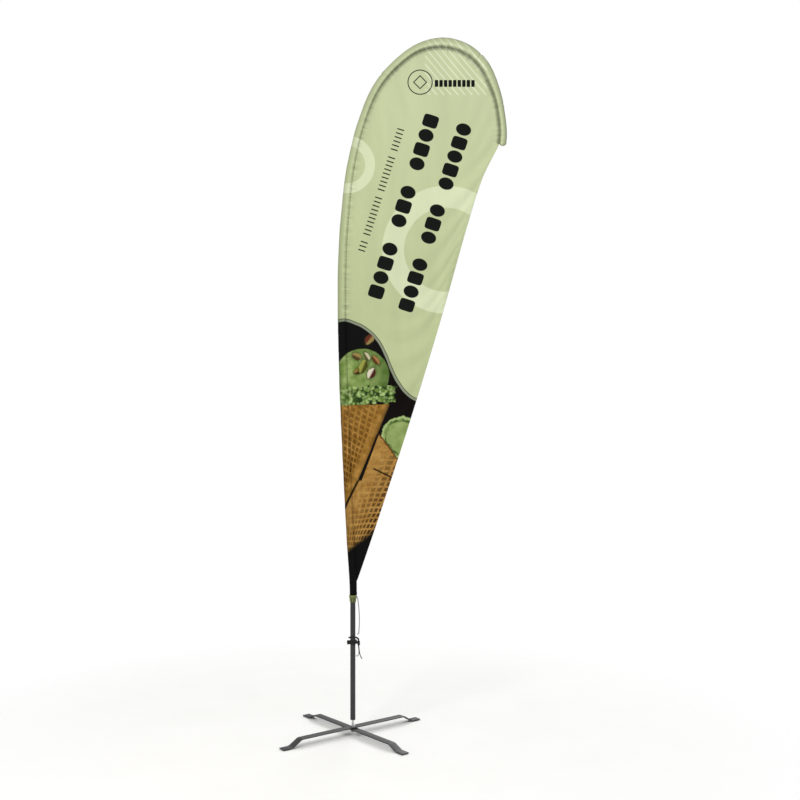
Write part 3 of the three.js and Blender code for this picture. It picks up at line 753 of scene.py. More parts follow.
def eased(stops, along):
    """A value given at a few distances along the edge, eased from each to the next."""
    stops = np.array(stops, float)
    k = np.clip(np.searchsorted(stops[:, 0], along) - 1, 0, len(stops) - 2)
    t = np.clip((along - stops[k, 0]) / (stops[k + 1, 0] - stops[k, 0]), 0, 1)
    return stops[k, 1] + (stops[k + 1, 1] - stops[k, 1]) * t * t * (3 - 2 * t)


# Each pair is a distance along the edge and the measure there.
SLEEVE_WIDTHS = [
    (600, 35), (900, 38), (1500, 42), (2400, 40), (3000, 35),
    (3350, 36), (3600, 50), (3800, 48), (4050, 34), (4600, 38),
]
SLEEVE_HALF_DEPTHS = [(600, 15.6), (2200, 14.5), (3200, 12.5), (4600, 12)]
POLE_INSETS = [(900, 15.6), (3000, 12.5), (4600, 10.5)]
print("edge of the sleeve:", round(EDGE_LENGTH), "mm")

# %% Make the lower pole tube
POLE_RADIUS, POLE_WALL = 12.5 * MM, 1.5 * MM
stations = np.concatenate([[0, 2, 300], np.arange(560, 1081, 40)])
axis = from_edge(stations, eased(POLE_INSETS, stations)) * MM
take_up(None)
bpy.ops.mesh.primitive_circle_add(
    vertices=64, radius=POLE_RADIUS, location=(axis[0, 0], 0, axis[0, 1]), fill_type="NOTHING"
)
pole = settle(bpy.context.object, "pole_tube")
with editing(pole):
    draw_out(axis, heading=math.pi / 2)
    face_outwards()
modify(pole, "SOLIDIFY", thickness=POLE_WALL, offset=-1)
soften(pole, 0.35 * MM, 50)
fit(pole, "pole_and_flag", anodised, "pole_lower")
print("pole tube:", len(pole.data.polygons), "faces")

# %% [markdown]
# ## The sleeve
#
# The pole runs in a sleeve of doubled knit, sewn along its inner side. Under tension the sleeve is round where the
# pole fills it and narrows to the seam. It is lofted here from one section: a round nose, then a taper to the
# thickness of the seam. A real sleeve is never smooth. The cloth creeps on the pole and gathers in long soft
# folds, the lock stitch pulls it into small puckers, and where the bow is tightest it creases right across. All
# three are moves of the section's points, as functions of the distance along the edge and of the place round it.

# %% The section of the sleeve, and its folds
NOSE = 0.42
SECTION_SIZE = (40, 15)
CREASE_DEPTHS = (4.6, 4.2, 2.8)
creases = [
    edge_run[np.argmin(np.linalg.norm(outer_edge - spot, axis=1))] for spot in ((138, 3215), (628, 3318), (735, 3075))
]


def section(count):
    """Points round the sleeve as (inward share, depth share), from the nose over the front to the seam and back."""
    nose = [(NOSE * (1 - math.cos(a)), math.sin(a)) for a in np.linspace(0, math.pi / 2, count, endpoint=False)]
    taper = [
        (NOSE + (1 - NOSE) * t, 0.1 + 0.9 * math.cos(math.pi / 2 * t) ** 0.8) for t in np.linspace(0, 1, count + 2)
    ]
    half = np.array(nose + taper)
    return np.vstack([half * (1, -1), half[::-1]])


def soft_noise(x, y, seed):
    """Smooth noise between about -1 and 1 for arrays of x and y."""
    x, y = np.broadcast_arrays(x, y)
    values = [noise.fractal(Vector((a, b, seed)), 0.9, 2.0, 2) for a, b in zip(x.ravel(), y.ravel())]
    return np.array(values).reshape(x.shape)


def bell(x, centre, width):
    return np.exp(-(((x - centre) / width) ** 2))


def sleeve_rings(along, proud=0.0, fullness=None):
    """The sleeve's rings and UVs, in metres. proud makes it that many mm larger all round."""
    unit = section(9)
    width = eased(SLEEVE_WIDTHS, along)[:, None]
    depth = eased(SLEEVE_HALF_DEPTHS, along)[:, None]
    full = 1.0 if fullness is None else fullness[:, None]
    share, side = unit[None, :, 0], unit[None, :, 1]
    inward = (share * (width + 2 * proud * (share < 0.9)) - proud) * full + width * (1 - full) / 2
    across = side * (depth + proud) * full

    near_seam = np.exp(-((1 - share) * width) / 9)
    front = np.where(side < 0, -1.0, 1.0)
    run = along[:, None] + 0 * share
    folds = soft_noise(run / 130, side * 1.3 + share * 0.8, 3.1) * 2.0
    folds += soft_noise(run / 42, side * 1.7, 7.7) * 0.7
    pucker = np.sin(run / 17 * 2 * math.pi + 2.5 * soft_noise(run / 60, share * 0, 1.5)) * 0.9
    pucker *= near_seam * (0.6 + 0.6 * soft_noise(run / 230, share * 0, 9.2)) * front * 2.8
    dents = 0
    for at, deepest in zip(creases, CREASE_DEPTHS):
        lean = at + 9 * share + 3 * soft_noise(share * 4, 0 * run, at)
        dents = dents - deepest * bell(run, lean, 5) + 0.45 * deepest * bell(run, lean + 12, 8)
    swell = (folds * 0.8 + dents) * (1 - near_seam)
    across = across + (swell * np.abs(side) * front + pucker) * full
    inward = inward - swell * (1 - share) * 0.6 * full * (share < NOSE)

    flat = from_edge(run, inward) * MM
    rings = np.stack([flat[..., 0], across * MM, flat[..., 1]], axis=-1)
    round_it = run_of(unit * SECTION_SIZE) * MM
    spots = np.stack(np.broadcast_arrays(-np.abs(round_it - round_it[-1] / 2)[None], run * MM), axis=-1)
    return rings, spots


# %% Make the sleeve and the pocket at its end
SLEEVE_FOOT = 679 - POLE_FOOT
POCKET_START = EDGE_LENGTH - 46
POCKET_ROUND = 14

turned_in = SLEEVE_FOOT + np.array([16, 8, 1.5])
outside = np.concatenate([np.arange(SLEEVE_FOOT, 3000, 5.0), np.arange(3000, POCKET_START + 6, 4.0)])
both = zip(sleeve_rings(turned_in, proud=-0.9), sleeve_rings(outside))
sleeve = skin("sleeve_knit", *(np.vstack(pair) for pair in both))

pocket_run = np.concatenate([
    np.arange(POCKET_START - 4, EDGE_LENGTH - POCKET_ROUND, 2.5),
    EDGE_LENGTH - POCKET_ROUND * np.cos(np.radians(np.linspace(0, 89, 12))),
])
left = np.clip((EDGE_LENGTH - pocket_run) / POCKET_ROUND, 0, 1)
pocket = skin("pocket_knit", *sleeve_rings(pocket_run, proud=0.8, fullness=0.02 + 0.98 * np.sqrt(1 - (1 - left) ** 2)))
with editing(pocket):
    bpy.ops.mesh.select_all(action="DESELECT")
    bpy.ops.mesh.select_non_manifold()
    bm = bmesh.from_edit_mesh(pocket.data)
    lowest = min(v.co.z for v in bm.verts)
    for v in bm.verts:
        v.select_set(v.select and v.co.z < lowest + 6 * MM)
    bm.select_flush_mode()
    bmesh.update_edit_mesh(pocket.data)
    bpy.ops.mesh.fill_holes(sides=0)
for piece in (sleeve, pocket):
    print(piece.name, len(piece.data.polygons), "faces")

# %% [markdown]
# ## The panel
#
# The panel is one cut of warp-knit polyester, sewn to the sleeve along the bowed seam and hemmed along its free
# edge. A knit panel is even in every direction, so its mesh is too: points on a triangular lattice of 13 mm,
# joined by a Delaunay triangulation whose border is the cut's own outline.

# %% Cut the panel
SPACING = 13
free_edge = smooth_line(
    [(714, 2876), (681, 2813), (634, 2716), (566, 2506), (437, 2049), (282, 1538), (114, 1021), (37, 795), (18, 742)],
    40,
)
FREE_LENGTH = run_of(free_edge)[-1]
seam_along = np.arange(745 - POLE_FOOT, EDGE_LENGTH - 4, SPACING)
seam = from_edge(seam_along, eased(SLEEVE_WIDTHS, seam_along) - 3.5)
outline = np.vstack([seam, on_line(free_edge, np.arange(SPACING / 2, FREE_LENGTH, SPACING))])

rows = np.arange(740, 3370, SPACING * math.sqrt(3) / 2)
lattice = np.array([(x + (k % 2) * SPACING / 2, z) for k, z in enumerate(rows) for x in np.arange(-70, 760, SPACING)])
# A lattice point is inside where a level line from it crosses the outline an odd number of times.
a, b = outline, np.roll(outline, -1, axis=0)
crossing = (a[None, :, 1] > lattice[:, None, 1]) != (b[None, :, 1] > lattice[:, None, 1])
rise = np.where(b[:, 1] == a[:, 1], 1, b[:, 1] - a[:, 1])
at_x = a[:, 0] + (lattice[:, None, 1] - a[:, 1]) / rise * (b[:, 0] - a[:, 0])
inside = (crossing & (lattice[:, None, 0] < at_x)).sum(axis=1) % 2 == 1
near = np.sqrt(((lattice[:, None] - outline[None]) ** 2).sum(-1)).min(axis=1) < SPACING * 0.6
points = np.vstack([outline, lattice[inside & ~near]]) * MM
border = [(k, (k + 1) % len(outline)) for k in range(len(outline))]
cut = delaunay_2d_cdt([Vector(p) for p in points], border, [], 1, 1e-7)

# %% [markdown]
# ## Letting the cloth settle
#
# A knit is never dead flat. It is cut a little longer than the space it spans, so it hangs in shallow, mostly
# upright waves between the pole and the free edge. The Cloth simulation finds them: the seam is pinned, the free
# edge is pinned to a gentle wave, the cloth grows by a fraction of one per cent, and gravity does the rest. Small
# starting ripples decide which way each wave goes, so that the result is the same every time.

# %% Pin the panel
start = np.array([(x, 0, z) for x, z in cut[0]])
start[:, 1] = 3.0 * MM * soft_noise(start[:, 0] * 7, start[:, 2] * 1.6, 4.2)
panel_mesh = bpy.data.meshes.new("panel_knit")
panel_mesh.from_pydata(start.tolist(), [], [list(face) for face in cut[2]])
panel = link("panel_knit", panel_mesh)

sewn = [n for n, origins in enumerate(cut[3]) if any(i < len(seam) for i in origins)]
hemmed = [n for n, origins in enumerate(cut[3]) if any(len(seam) <= i < len(outline) for i in origins)]
for n in sewn:
    panel_mesh.vertices[n].co.y = 0
for n in hemmed:
    z = start[n, 2]
    fade = min(1, 4 * (z - 0.74), 4 * (2.876 - z))
    panel_mesh.vertices[n].co.y = 7 * math.sin(z * 3.1 + 0.6) * MM * max(0, fade)
panel.vertex_groups.new(name="sewn").add(sewn + hemmed, 1.0, "REPLACE")

# %% Simulate the panel
LAST_FRAME = 36
KNIT = {
    "quality": 6, "mass": 0.12, "vertex_group_mass": "sewn", "tension_stiffness": 25, "compression_stiffness": 25,
    "shear_stiffness": 12, "bending_stiffness": 0.6, "air_damping": 3, "shrink_min": -0.0016,
}
take_up(panel)
cloth = panel.modifiers.new("cloth", "CLOTH")
for key, value in KNIT.items():
    setattr(cloth.settings, key, value)
cloth.collision_settings.use_collision = False
cloth.point_cache.frame_start = 1
cloth.point_cache.frame_end = LAST_FRAME
for number in range(1, LAST_FRAME + 1):
    bpy.context.scene.frame_set(number)
bpy.ops.object.modifier_apply(modifier=cloth.name)
bpy.context.scene.frame_set(1)
depths = np.array([v.co.y for v in panel_mesh.vertices]) / MM
print("panel stands", round(depths.min(), 1), "to", round(depths.max(), 1), "mm from its plane")

# %% [markdown]
# The settled cloth is a single layer of coarse triangles. Its surface is read back by casting rays at it, so that
# the hem can follow it. Then it is subdivided once and given the real thickness of the knit, about half a
# millimetre, and a UV map that holds the distance from the seam, which the stitching's puckers need.

# %% Read the cloth back
tree_of_cloth = BVHTree.FromPolygons(
    [v.co[:] for v in panel_mesh.vertices], [tuple(p.vertices) for p in panel_mesh.polygons]
)


def cloth_depth(x, z):
    """How far the cloth stands from the flag's plane at a point, in metres."""
    for reach in (0, 2 * MM, 5 * MM, 9 * MM):
        hit = tree_of_cloth.ray_cast(Vector((x - reach, -1, z)), Vector((0, 1, 0)))[0]
        if hit:
            return hit.y
    return tree_of_cloth.find_nearest(Vector((x, 0, z)))[0].y


# %% Finish the panel
KNIT_THICK = 0.5 * MM
SEAM_STEP = 4.0
modify(panel, "SUBSURF", levels=1, render_levels=1)
fine = np.array([v.co[:] for v in panel.data.vertices])
seam_run = np.arange(600, EDGE_LENGTH, SEAM_STEP)
seam_line = from_edge(seam_run, eased(SLEEVE_WIDTHS, seam_run)) * MM
from_the_seam = np.empty((len(fine), 2))
for first in range(0, len(fine), 4000):
    some = slice(first, first + 4000)
    apart = np.sqrt(((fine[some, None, ::2] - seam_line[None]) ** 2).sum(-1))
    from_the_seam[some] = np.stack([apart.min(axis=1), 0.6 + apart.argmin(axis=1) * SEAM_STEP * MM], axis=-1)
loops = np.empty(len(panel.data.loops), int)
panel.data.loops.foreach_get("vertex_index", loops)
panel.data.uv_layers.new(name="cloth").data.foreach_set("uv", from_the_seam[loops].reshape(-1))
modify(panel, "SOLIDIFY", thickness=KNIT_THICK, offset=0)
panel.vertex_groups.clear()
take_up(panel)
bpy.ops.object.shade_smooth()
print("panel:", len(panel.data.polygons), "faces")

# %% [markdown]
# ## The hem
#
# The free edge is folded over 14 mm and sewn with two needles. The fold is a flat U that wraps the panel's edge. It
# is built row by row from the free edge, and each row takes its depth from the settled cloth, so the hem waves
# with the panel.

# %% Make the hem
hem_run = np.arange(0, FREE_LENGTH - 4, 6.0)
hem_line = on_line(free_edge, hem_run)
# (inward in mm, share of the half thickness), from the inner edge on the front round the fold to the back
fold = [(14, -0.35), (13.6, -0.9), (10.5, -0.55), (7, -1), (3.5, -0.6), (1.4, -1), (0.2, -0.7), (-0.3, 0)]
fold += [(inward, -thick) for inward, thick in fold[-2::-1]]
fold.append(fold[0])
rings, spots = [], []
for (x, z), (ax, az), along in zip(hem_line, headings(hem_line), hem_run):
    row = []
    for inward, thick in fold:
        px, pz = (x + az * inward) * MM, (z - ax * inward) * MM
        tug = 0.15 * math.sin(along / 9 * 2 * math.pi) * (1 - abs(inward - 7) / 8)
        row.append((px, cloth_depth(px, pz) + (thick * (0.85 + tug)) * MM, pz))
    rings.append(row)
    # This UV map starts 0.4 m from the seam, where its stitches no longer pull at the cloth.
    spots.append([(0.4 + k * 3.4 * MM, along * MM) for k in range(len(fold))])
hem = close_ends(skin("hem_knit", rings, spots))
print("hem:", len(hem.data.polygons), "faces")

# %% [markdown]
# ## The print
#
# The knit is printed before it is sewn, by dye sublimation: hot dye gas goes into the yarn, so the print has no
# thickness and follows every fold. Its plan is laid out here in metres on the flag's own plane, which is the plane
# of its object coordinates, so the sleeve, the panel and the hem share one picture. The lines of text on such a flag
# are replaced by plain rows of marks, and its badge by a ring and a diamond.
#
# Every part of the picture is a mask between 0 and 1, and each ink is laid over what is there. A few masks come
# back again and again: one side of a straight line, a disc, a ring and a row of marks.

# %% Masks for the print
print_knit, print_tree, print_shader, cloth_place = new_finish(
    "dye-printed warp knit, polyester", IOR=1.45, Specular_IOR_Level=0.1, Sheen_Weight=0.01, Sheen_Roughness=0.4
)
put = partial(add, print_tree)
print_x, print_z = (put("SeparateXYZ", cloth_place, out=axis) for axis in ("X", "Z"))


def how_far(x, z):
    """The distance along the direction (x, z) of the flag's plane."""
    return put("VectorMath", cloth_place, (x, 0, z), operation="DOT_PRODUCT", out="Value")


def side_of(first, second, soft=3 * MM, bend=None):
    """1 to the right of the line from first to second, in metres. bend is a socket that moves the line."""
    (x1, z1), (x2, z2) = first, second
    length = math.hypot(x2 - x1, z2 - z1)
    nx, nz = (z2 - z1) / length, -(x2 - x1) / length
    away = put("ADD", how_far(nx, nz), -(nx * x1 + nz * z1))
    if bend:
        away = put("ADD", away, bend)
    return put("MapRange", away, -soft, soft, 0.0, 1.0, interpolation_type="SMOOTHSTEP")


def all_of(*masks):
    """Where every mask is 1."""
    whole = masks[0]
    for mask in masks[1:]:
        whole = put("MULTIPLY", whole, mask)
    return whole


def from_centre(x, z, wobble=None):
    """The distance from a point of the plane, in metres."""
    moved = put("Mapping", cloth_place, (-x, 0, -z), None, (1, 0, 1))
    away = put("VectorMath", moved, operation="LENGTH", out="Value")
    return put("ADD", away, wobble) if wobble else away


def within(distance, low, high, soft=2 * MM):
    """1 where a distance lies between low and high."""
    return all_of(
        put("MapRange", distance, low - soft, low + soft, 0.0, 1.0),
        put("MapRange", distance, high - soft, high + soft, 1.0, 0.0),
    )


def ink(below, colour, mask):
    """Lays a colour over what is below, where the mask is 1."""
    return put("Mix", mask, below, colour)


def grain_of(scale, detail=3.0, stretch=(1, 1, 1), out=0):
    return put("TexNoise", put("Mapping", cloth_place, None, None, stretch), Scale=scale, Detail=detail, out=out)


def rough_edge(scale, detail, reach):
    """A distance that wanders between -reach and reach, to roughen an edge."""
    return put("MapRange", grain_of(scale, detail), 0.0, 1.0, -reach, reach)


# %% [markdown]
# The sage green ground is lighter towards the top and darker towards the left. Two large pale rings and a patch of
# slanted pale pin stripes lie on it.

# %% Ground, rings and pin stripes
picture = put("Mix", put("MapRange", print_z, 1.65, 3.25, 0.0, 1.0), "#b0ba8d", "#bac39c")
picture = ink(picture, "#abb588", put("MapRange", print_x, -0.1, 0.3, 0.35, 0.0))
for x, z, inner, outer in ((0.455, 2.363, 0.205, 0.312), (-0.033, 2.778, 0.093, 0.141)):
    picture = ink(picture, "#cfd8b6", put("MULTIPLY", within(from_centre(x, z), inner, outer), 0.75))

STRIPE_TURN, STRIPE_PITCH = math.radians(50), 0.0262
stripe = folded(print_tree, how_far(math.sin(STRIPE_TURN), math.cos(STRIPE_TURN)), 1 / STRIPE_PITCH)
patch = all_of(
    side_of((0.352, 3.10), (0.352, 3.42)), side_of((0.655, 3.42), (0.655, 3.10)),
    side_of((0.34, 3.42), (0.66, 3.42)), side_of((0.66, 3.118), (0.34, 3.118)),
)
picture = ink(picture, "#d3dbbd", all_of(put("MapRange", stripe, 0.36, 0.41, 0.0, 0.85), patch))

# %% [markdown]
# Two bold rows of square and round marks climb the flag on the slant, with a lighter row of ticks beside them and a
# small badge at the top. A row measures along and across itself. Folding the along-distance back and forth gives
# every cell the same mark, and the gaps between groups are masked out. A mark is a superellipse: its exponent is 2
# for the round marks in odd cells and high for the square ones in even cells.


# %% A row of marks
def row_of_marks(first, last, tall, cells, gaps=(), mark=0.43, squareness=5.0, roundness=2.0):
    """Marks from the middle of the first cell to the middle of the last. gaps lists the cells that stay empty."""
    long = math.hypot(last[0] - first[0], last[1] - first[1])
    ax, az = (last[0] - first[0]) / long, (last[1] - first[1]) / long
    pitch = long / (cells - 1)
    x1, z1 = first[0] - ax * pitch / 2, first[1] - az * pitch / 2
    along = put("ADD", how_far(ax, az), -(ax * x1 + az * z1))
    across = put("ADD", how_far(az, -ax), -(az * x1 - ax * z1))
    cell = put("MULTIPLY", along, 1 / pitch)
    wide = put("ABSOLUTE", put("MULTIPLY", put("ADD", put("FRACT", cell), -0.5), 1 / mark))
    high = put("ABSOLUTE", put("MULTIPLY", across, 2 / tall))
    power = put("MapRange", put("MODULO", put("FLOOR", cell), 2.0), 0.0, 1.0, squareness, roundness)
    reach = put("ADD", put("POWER", wide, power), put("POWER", high, power))
    in_mark = put("MapRange", reach, 0.9, 1.06, 1.0, 0.0)
    masks = [in_mark, put("GREATER_THAN", cell, 0.0), put("LESS_THAN", cell, float(cells))]
    for gap in gaps:
        masks.append(put("GREATER_THAN", put("ABSOLUTE", put("ADD", cell, -(gap + 0.5))), 0.5))
    return all_of(*masks)


# %% The rows and the badge
BLACK_INK = "#0f110f"
BADGE_X, BADGE_Z = 0.328, 3.180
badge = from_centre(BADGE_X, BADGE_Z)
diamond = put("ADD", *(put("ABSOLUTE", put("ADD", way, -at)) for way, at in ((print_x, BADGE_X), (print_z, BADGE_Z))))
for colour, mask in (
    (BLACK_INK, row_of_marks((0.115, 2.158), (0.379, 2.990), 0.076, 13, (4, 8))),
    (BLACK_INK, row_of_marks((0.263, 2.093), (0.540, 2.949), 0.076, 14, (4, 8))),
    ("#22261f", row_of_marks((0.043, 2.360), (0.2335, 2.949), 0.036, 31, (3, 14, 24), 0.15, 8.0, 8.0)),
    (BLACK_INK, row_of_marks((0.408, 3.174), (0.586, 3.174), 0.034, 9, (), 0.38, 8.0, 8.0)),
    (BLACK_INK, within(badge, 0.0565, 0.0615, 1 * MM)),
    (BLACK_INK, within(diamond, 0.028, 0.035, 1 * MM)),
):
    picture = ink(picture, colour, mask)

# %% [markdown]
# A wave divides the green from the dark lower part. Its height is drawn once with a Float Curve over the width of
# the flag. A steep wave would be too thick if its border were measured straight down, so the curve is also read a
# little to each side, and the difference gives the slope to correct with.

# %% The wave and the dark ground below it
WAVE = [
    (-72, 2019), (-36, 2024), (10, 2010), (58, 1987), (120, 1931), (163, 1855), (188, 1793), (225, 1719), (276, 1657),
    (320, 1632),
]
WAVE_X, WAVE_Z = (-0.1, 0.34), (1.6, 2.05)
WAVE_STEP = 8 * MM


def wave_height(shift):
    height = put("FloatCurve", Value=put("MapRange", put("ADD", print_x, shift), *WAVE_X, 0.0, 1.0))
    mapping = height.node.mapping
    points = mapping.curves[0].points
    spots = [[(v * MM - low) / (high - low) for v, (low, high) in zip(spot, (WAVE_X, WAVE_Z))] for spot in WAVE]
    points[0].location, points[1].location = (0, spots[0][1] - 0.01), (1, spots[-1][1] - 0.01)
    for spot in spots:
        points.new(*spot)
    mapping.update()
    return put("MapRange", height, 0.0, 1.0, *WAVE_Z)


middle, ahead, behind = (wave_height(shift) for shift in (0.0, WAVE_STEP, -WAVE_STEP))
slope = put("MULTIPLY", put("SUBTRACT", ahead, behind), 0.5 / WAVE_STEP)
steep = put("SQRT", put("MULTIPLY_ADD", slope, slope, 1.0))
over_wave = put("DIVIDE", put("SUBTRACT", print_z, middle), steep)

picture = ink(picture, "#4d523f", within(over_wave, -2 * MM, 3 * MM, 1 * MM))
picture = ink(picture, "#7f8778", within(over_wave, -10 * MM, -3 * MM, 1 * MM))
dark = put("MapRange", over_wave, -12 * MM, -9 * MM, 1.0, 0.0)
night = put("Mix", put("MapRange", print_x, 0.05, 0.22, 0.0, 1.0), "#080808", "#0a0403")
picture = ink(picture, night, dark)

# %% [markdown]
# The dark part shows two waffle cones with scoops of green ice cream, cut off by the flag's edges. A cone is the
# space between a few straight lines. A waffle's cells are where two folded measures are both high: one counted
# round the cone's tip and one along the cone. The scoops are discs with a rough rim and a mottled green, the
# crumbly lower rim comes from Voronoi cells, and each nut is an ellipse with a broken edge.

# %% A waffle
wobble = put("VectorMath", grain_of(9.0, 2.0, out="Color"), (0.5, 0.5, 0.5), operation="SUBTRACT")
uneven = put("VectorMath", wobble, (0.022, 0, 0.022), cloth_place, operation="MULTIPLY_ADD")
WAFFLE_CELL = 0.027


def leaned(place, x, z, turn):
    """The plane moved so that (x, z) is its middle, and turned."""
    moved = put("Mapping", place, (-x, 0, -z), None, (1, 0, 1))
    return put("VectorRotate", moved, Axis=(0, 1, 0), Angle=math.radians(turn))


def waffle(tip, axis_turn, spread, rise, light, mid, deep, depth):
    """Colour of a waffle whose ridges fan out from its tip. rise slants the second family of ridges."""
    turned_cloth = leaned(uneven, *tip, axis_turn)
    across, up = (put("SeparateXYZ", turned_cloth, out=axis) for axis in ("X", "Z"))
    ridge = folded(print_tree, put("DIVIDE", across, up), spread)
    step = folded(print_tree, put("MULTIPLY_ADD", across, rise, up), 1 / WAFFLE_CELL)
    pit = put("MapRange", put("MINIMUM", ridge, step), 0.08, 0.25, 0.0, depth, interpolation_type="SMOOTHSTEP")
    crust = put("Mix", put("MapRange", grain_of(26.0, 6.0), 0.35, 0.65, 0.0, 1.0), mid, light)
    return ink(crust, deep, pit)


# %% The two cones
ragged = rough_edge(30.0, 4.0, 8 * MM)
CONE_ONE_SIDE = ((0.180, 1.609), (-0.033, 1.100))
CONE_TWO_RIM = ((0.118, 1.480), (0.235, 1.325))
CONE_TWO_LEFT = (((0.045, 1.242), (0.130, 1.468)), ((-0.048, 1.075), (0.030, 1.234)))

cone_one = all_of(side_of(*CONE_ONE_SIDE, 2 * MM), side_of((-0.10, 1.602), (0.20, 1.610), 2 * MM, ragged))
pits_one = all_of(side_of((0.148, 1.62), (-0.072, 1.10), 16 * MM), put("MapRange", print_z, 1.2, 1.6, 1.0, 0.55))
waffle_one = waffle((-0.045, 1.055), -13, 17, 0.30, "#a87d3c", "#835d20", "#573708", pits_one)
shade_one = put("MULTIPLY", side_of((-0.050, 1.03), (0.172, 1.62), 18 * MM), 0.85)
waffle_one = ink(waffle_one, "#1c0f05", shade_one)


def right_of_wrap(shift):
    """Right of cone two's left edge, which has a step where the waffle is wrapped over itself."""
    upper, lower = (side_of(*((x - shift, z) for x, z in edge), 2 * MM) for edge in CONE_TWO_LEFT)
    over = all_of(upper, side_of((0.4, 1.232), (-0.2, 1.232), 6 * MM))
    under = all_of(lower, side_of((-0.2, 1.236), (0.4, 1.236), 6 * MM))
    return put("MAXIMUM", over, under)


cone_two = all_of(
    right_of_wrap(0), side_of(*CONE_TWO_RIM, 2 * MM, ragged), side_of((0.110, 1.000), (-0.060, 0.875), 16 * MM, ragged)
)
pits_two = put("MapRange", how_far(1, -0.55), -0.61, -0.47, 0.12, 1.0)
waffle_two = waffle((-0.030, 0.790), -16, 15, -0.32, "#b58c4a", "#996f33", "#3a2309", pits_two)
waffle_two = ink(waffle_two, "#6b481a", put("MapRange", grain_of(150.0, 2.0), 0.5, 0.7, 0.0, 0.3))
wrap = within(side_of((0.098, 1.297), (0.196, 1.249), 10 * MM), 0.22, 0.78, 0.12)
waffle_two = ink(waffle_two, "#2a1606", all_of(wrap, side_of((0.100, 1.2), (0.100, 1.4), 6 * MM)))
lip = within(side_of(*CONE_TWO_RIM, 12 * MM, ragged), 0.4, 0.85, 0.1)
waffle_two = ink(waffle_two, "#5a3310", all_of(lip, side_of((0.4, 1.28), (-0.2, 1.28))))

# %% Scoops and crumbly rim
SCOOP_TWO = (0.238, 1.448)
rim_wobble = rough_edge(30.0, 5.0, 14 * MM)
cream = put("Mix", put("MapRange", grain_of(24.0, 6.0), 0.35, 0.65, 0.0, 1.0), "#66803a", "#95a968")
scoop_one = put("MapRange", from_centre(0.047, 1.7495, put("MULTIPLY", rim_wobble, 0.35)), 0.128, 0.132, 1.0, 0.0)
round_one = put("MapRange", from_centre(0.00, 1.77), 0.05, 0.17, 0.0, 0.75)
picture = ink(picture, ink(cream, "#3a541e", round_one), all_of(scoop_one, dark))

torn = put("VectorMath", grain_of(60.0, 3.0, out="Color"), (0.016, 0, 0.016), cloth_place, operation="MULTIPLY_ADD")
lumps = put("TexVoronoi", torn, Scale=58.0, Randomness=1.0, out="Distance")
gaps = put("MapRange", lumps, 0.36, 0.70, 0.0, put("MapRange", print_x, -0.06, 0.03, 0.45, 1.0))
crumbs = put("Mix", put("MapRange", grain_of(48.0, 3.0), 0.42, 0.62, 0.0, 1.0), "#637f38", "#a3ba78")
crumb_edge = rough_edge(38.0, 2.0, 26 * MM)
frill = all_of(
    side_of((-0.12, 1.688), (0.26, 1.700), 3 * MM, crumb_edge),
    side_of((0.26, 1.628), (-0.12, 1.590), 3 * MM, crumb_edge),
    side_of((0.212, 1.75), (0.206, 1.55), 5 * MM, crumb_edge),
    dark,
)
picture = ink(picture, ink(crumbs, "#1f340f", gaps), frill)

off_two = from_centre(*SCOOP_TWO, rim_wobble)
inner_rim = within(from_centre(0.240, 1.450, put("MULTIPLY", rim_wobble, 1.6)), 0.076, 0.088, 4 * MM)
inner_rim = all_of(inner_rim, put("MapRange", grain_of(26.0, 3.0), 0.40, 0.56, 0.15, 1.0))
cream_two = ink(ink(ink(cream, "#8e9f62", 0.45), "#35501c", inner_rim), "#9bb072", within(off_two, 0.092, 0.101))
picture = ink(picture, cream_two, all_of(put("MapRange", off_two, 0.098, 0.103, 1.0, 0.0), dark))

# %% Lay the cones over the scoops
picture = ink(picture, waffle_one, all_of(cone_one, dark))
between = all_of(right_of_wrap(0.012), side_of(*CONE_ONE_SIDE), side_of((-0.2, 1.462), (0.3, 1.462)), dark)
picture = ink(picture, "#0b0705", between)
picture = ink(picture, waffle_two, all_of(cone_two, dark))


# %% Nuts
def nut_piece(x, z, long, wide, turn, skin_ink, flesh):
    """One broken nut, whose lower side shows its skin, and the shadow round it."""
    sized = put("VectorMath", leaned(cloth_place, x, z, turn), (1 / long, 0, 1 / wide), operation="MULTIPLY")
    away = put("VectorMath", sized, operation="LENGTH", out="Value")
    away = put("ADD", away, rough_edge(70.0, 3.0, 0.4))
    halves = put("MapRange", put("SeparateXYZ", sized, out="Z"), -0.25, 0.15, 0.0, 1.0)
    nut, its_shade = put("MapRange", away, 0.85, 1.0, 1.0, 0.0), put("MapRange", away, 0.95, 1.4, 0.6, 0.0)
    return put("Mix", halves, skin_ink, flesh), nut, its_shade


for spot in (
    (0.028, 1.771, 0.026, 0.016, 25, "#3a2a0e", "#857034"), (0.019, 1.843, 0.025, 0.019, -25, "#4c3a1c", "#8f7c46"),
    (0.069, 1.842, 0.024, 0.013, -58, "#5c5236", "#bdb796"), (0.113, 1.823, 0.028, 0.014, -52, "#583218", "#947042"),
    (0.050, 1.794, 0.034, 0.021, 68, "#42440f", "#8d9244"), (0.090, 1.760, 0.030, 0.020, 62, "#421a12", "#cdc4b0"),
    (0.080, 1.925, 0.031, 0.020, 52, "#8a7444", "#5a2a1c"),
):
    body, mask, shadow = nut_piece(*spot)
    picture = ink(ink(picture, "#1d260e", all_of(shadow, dark)), body, all_of(mask, dark))
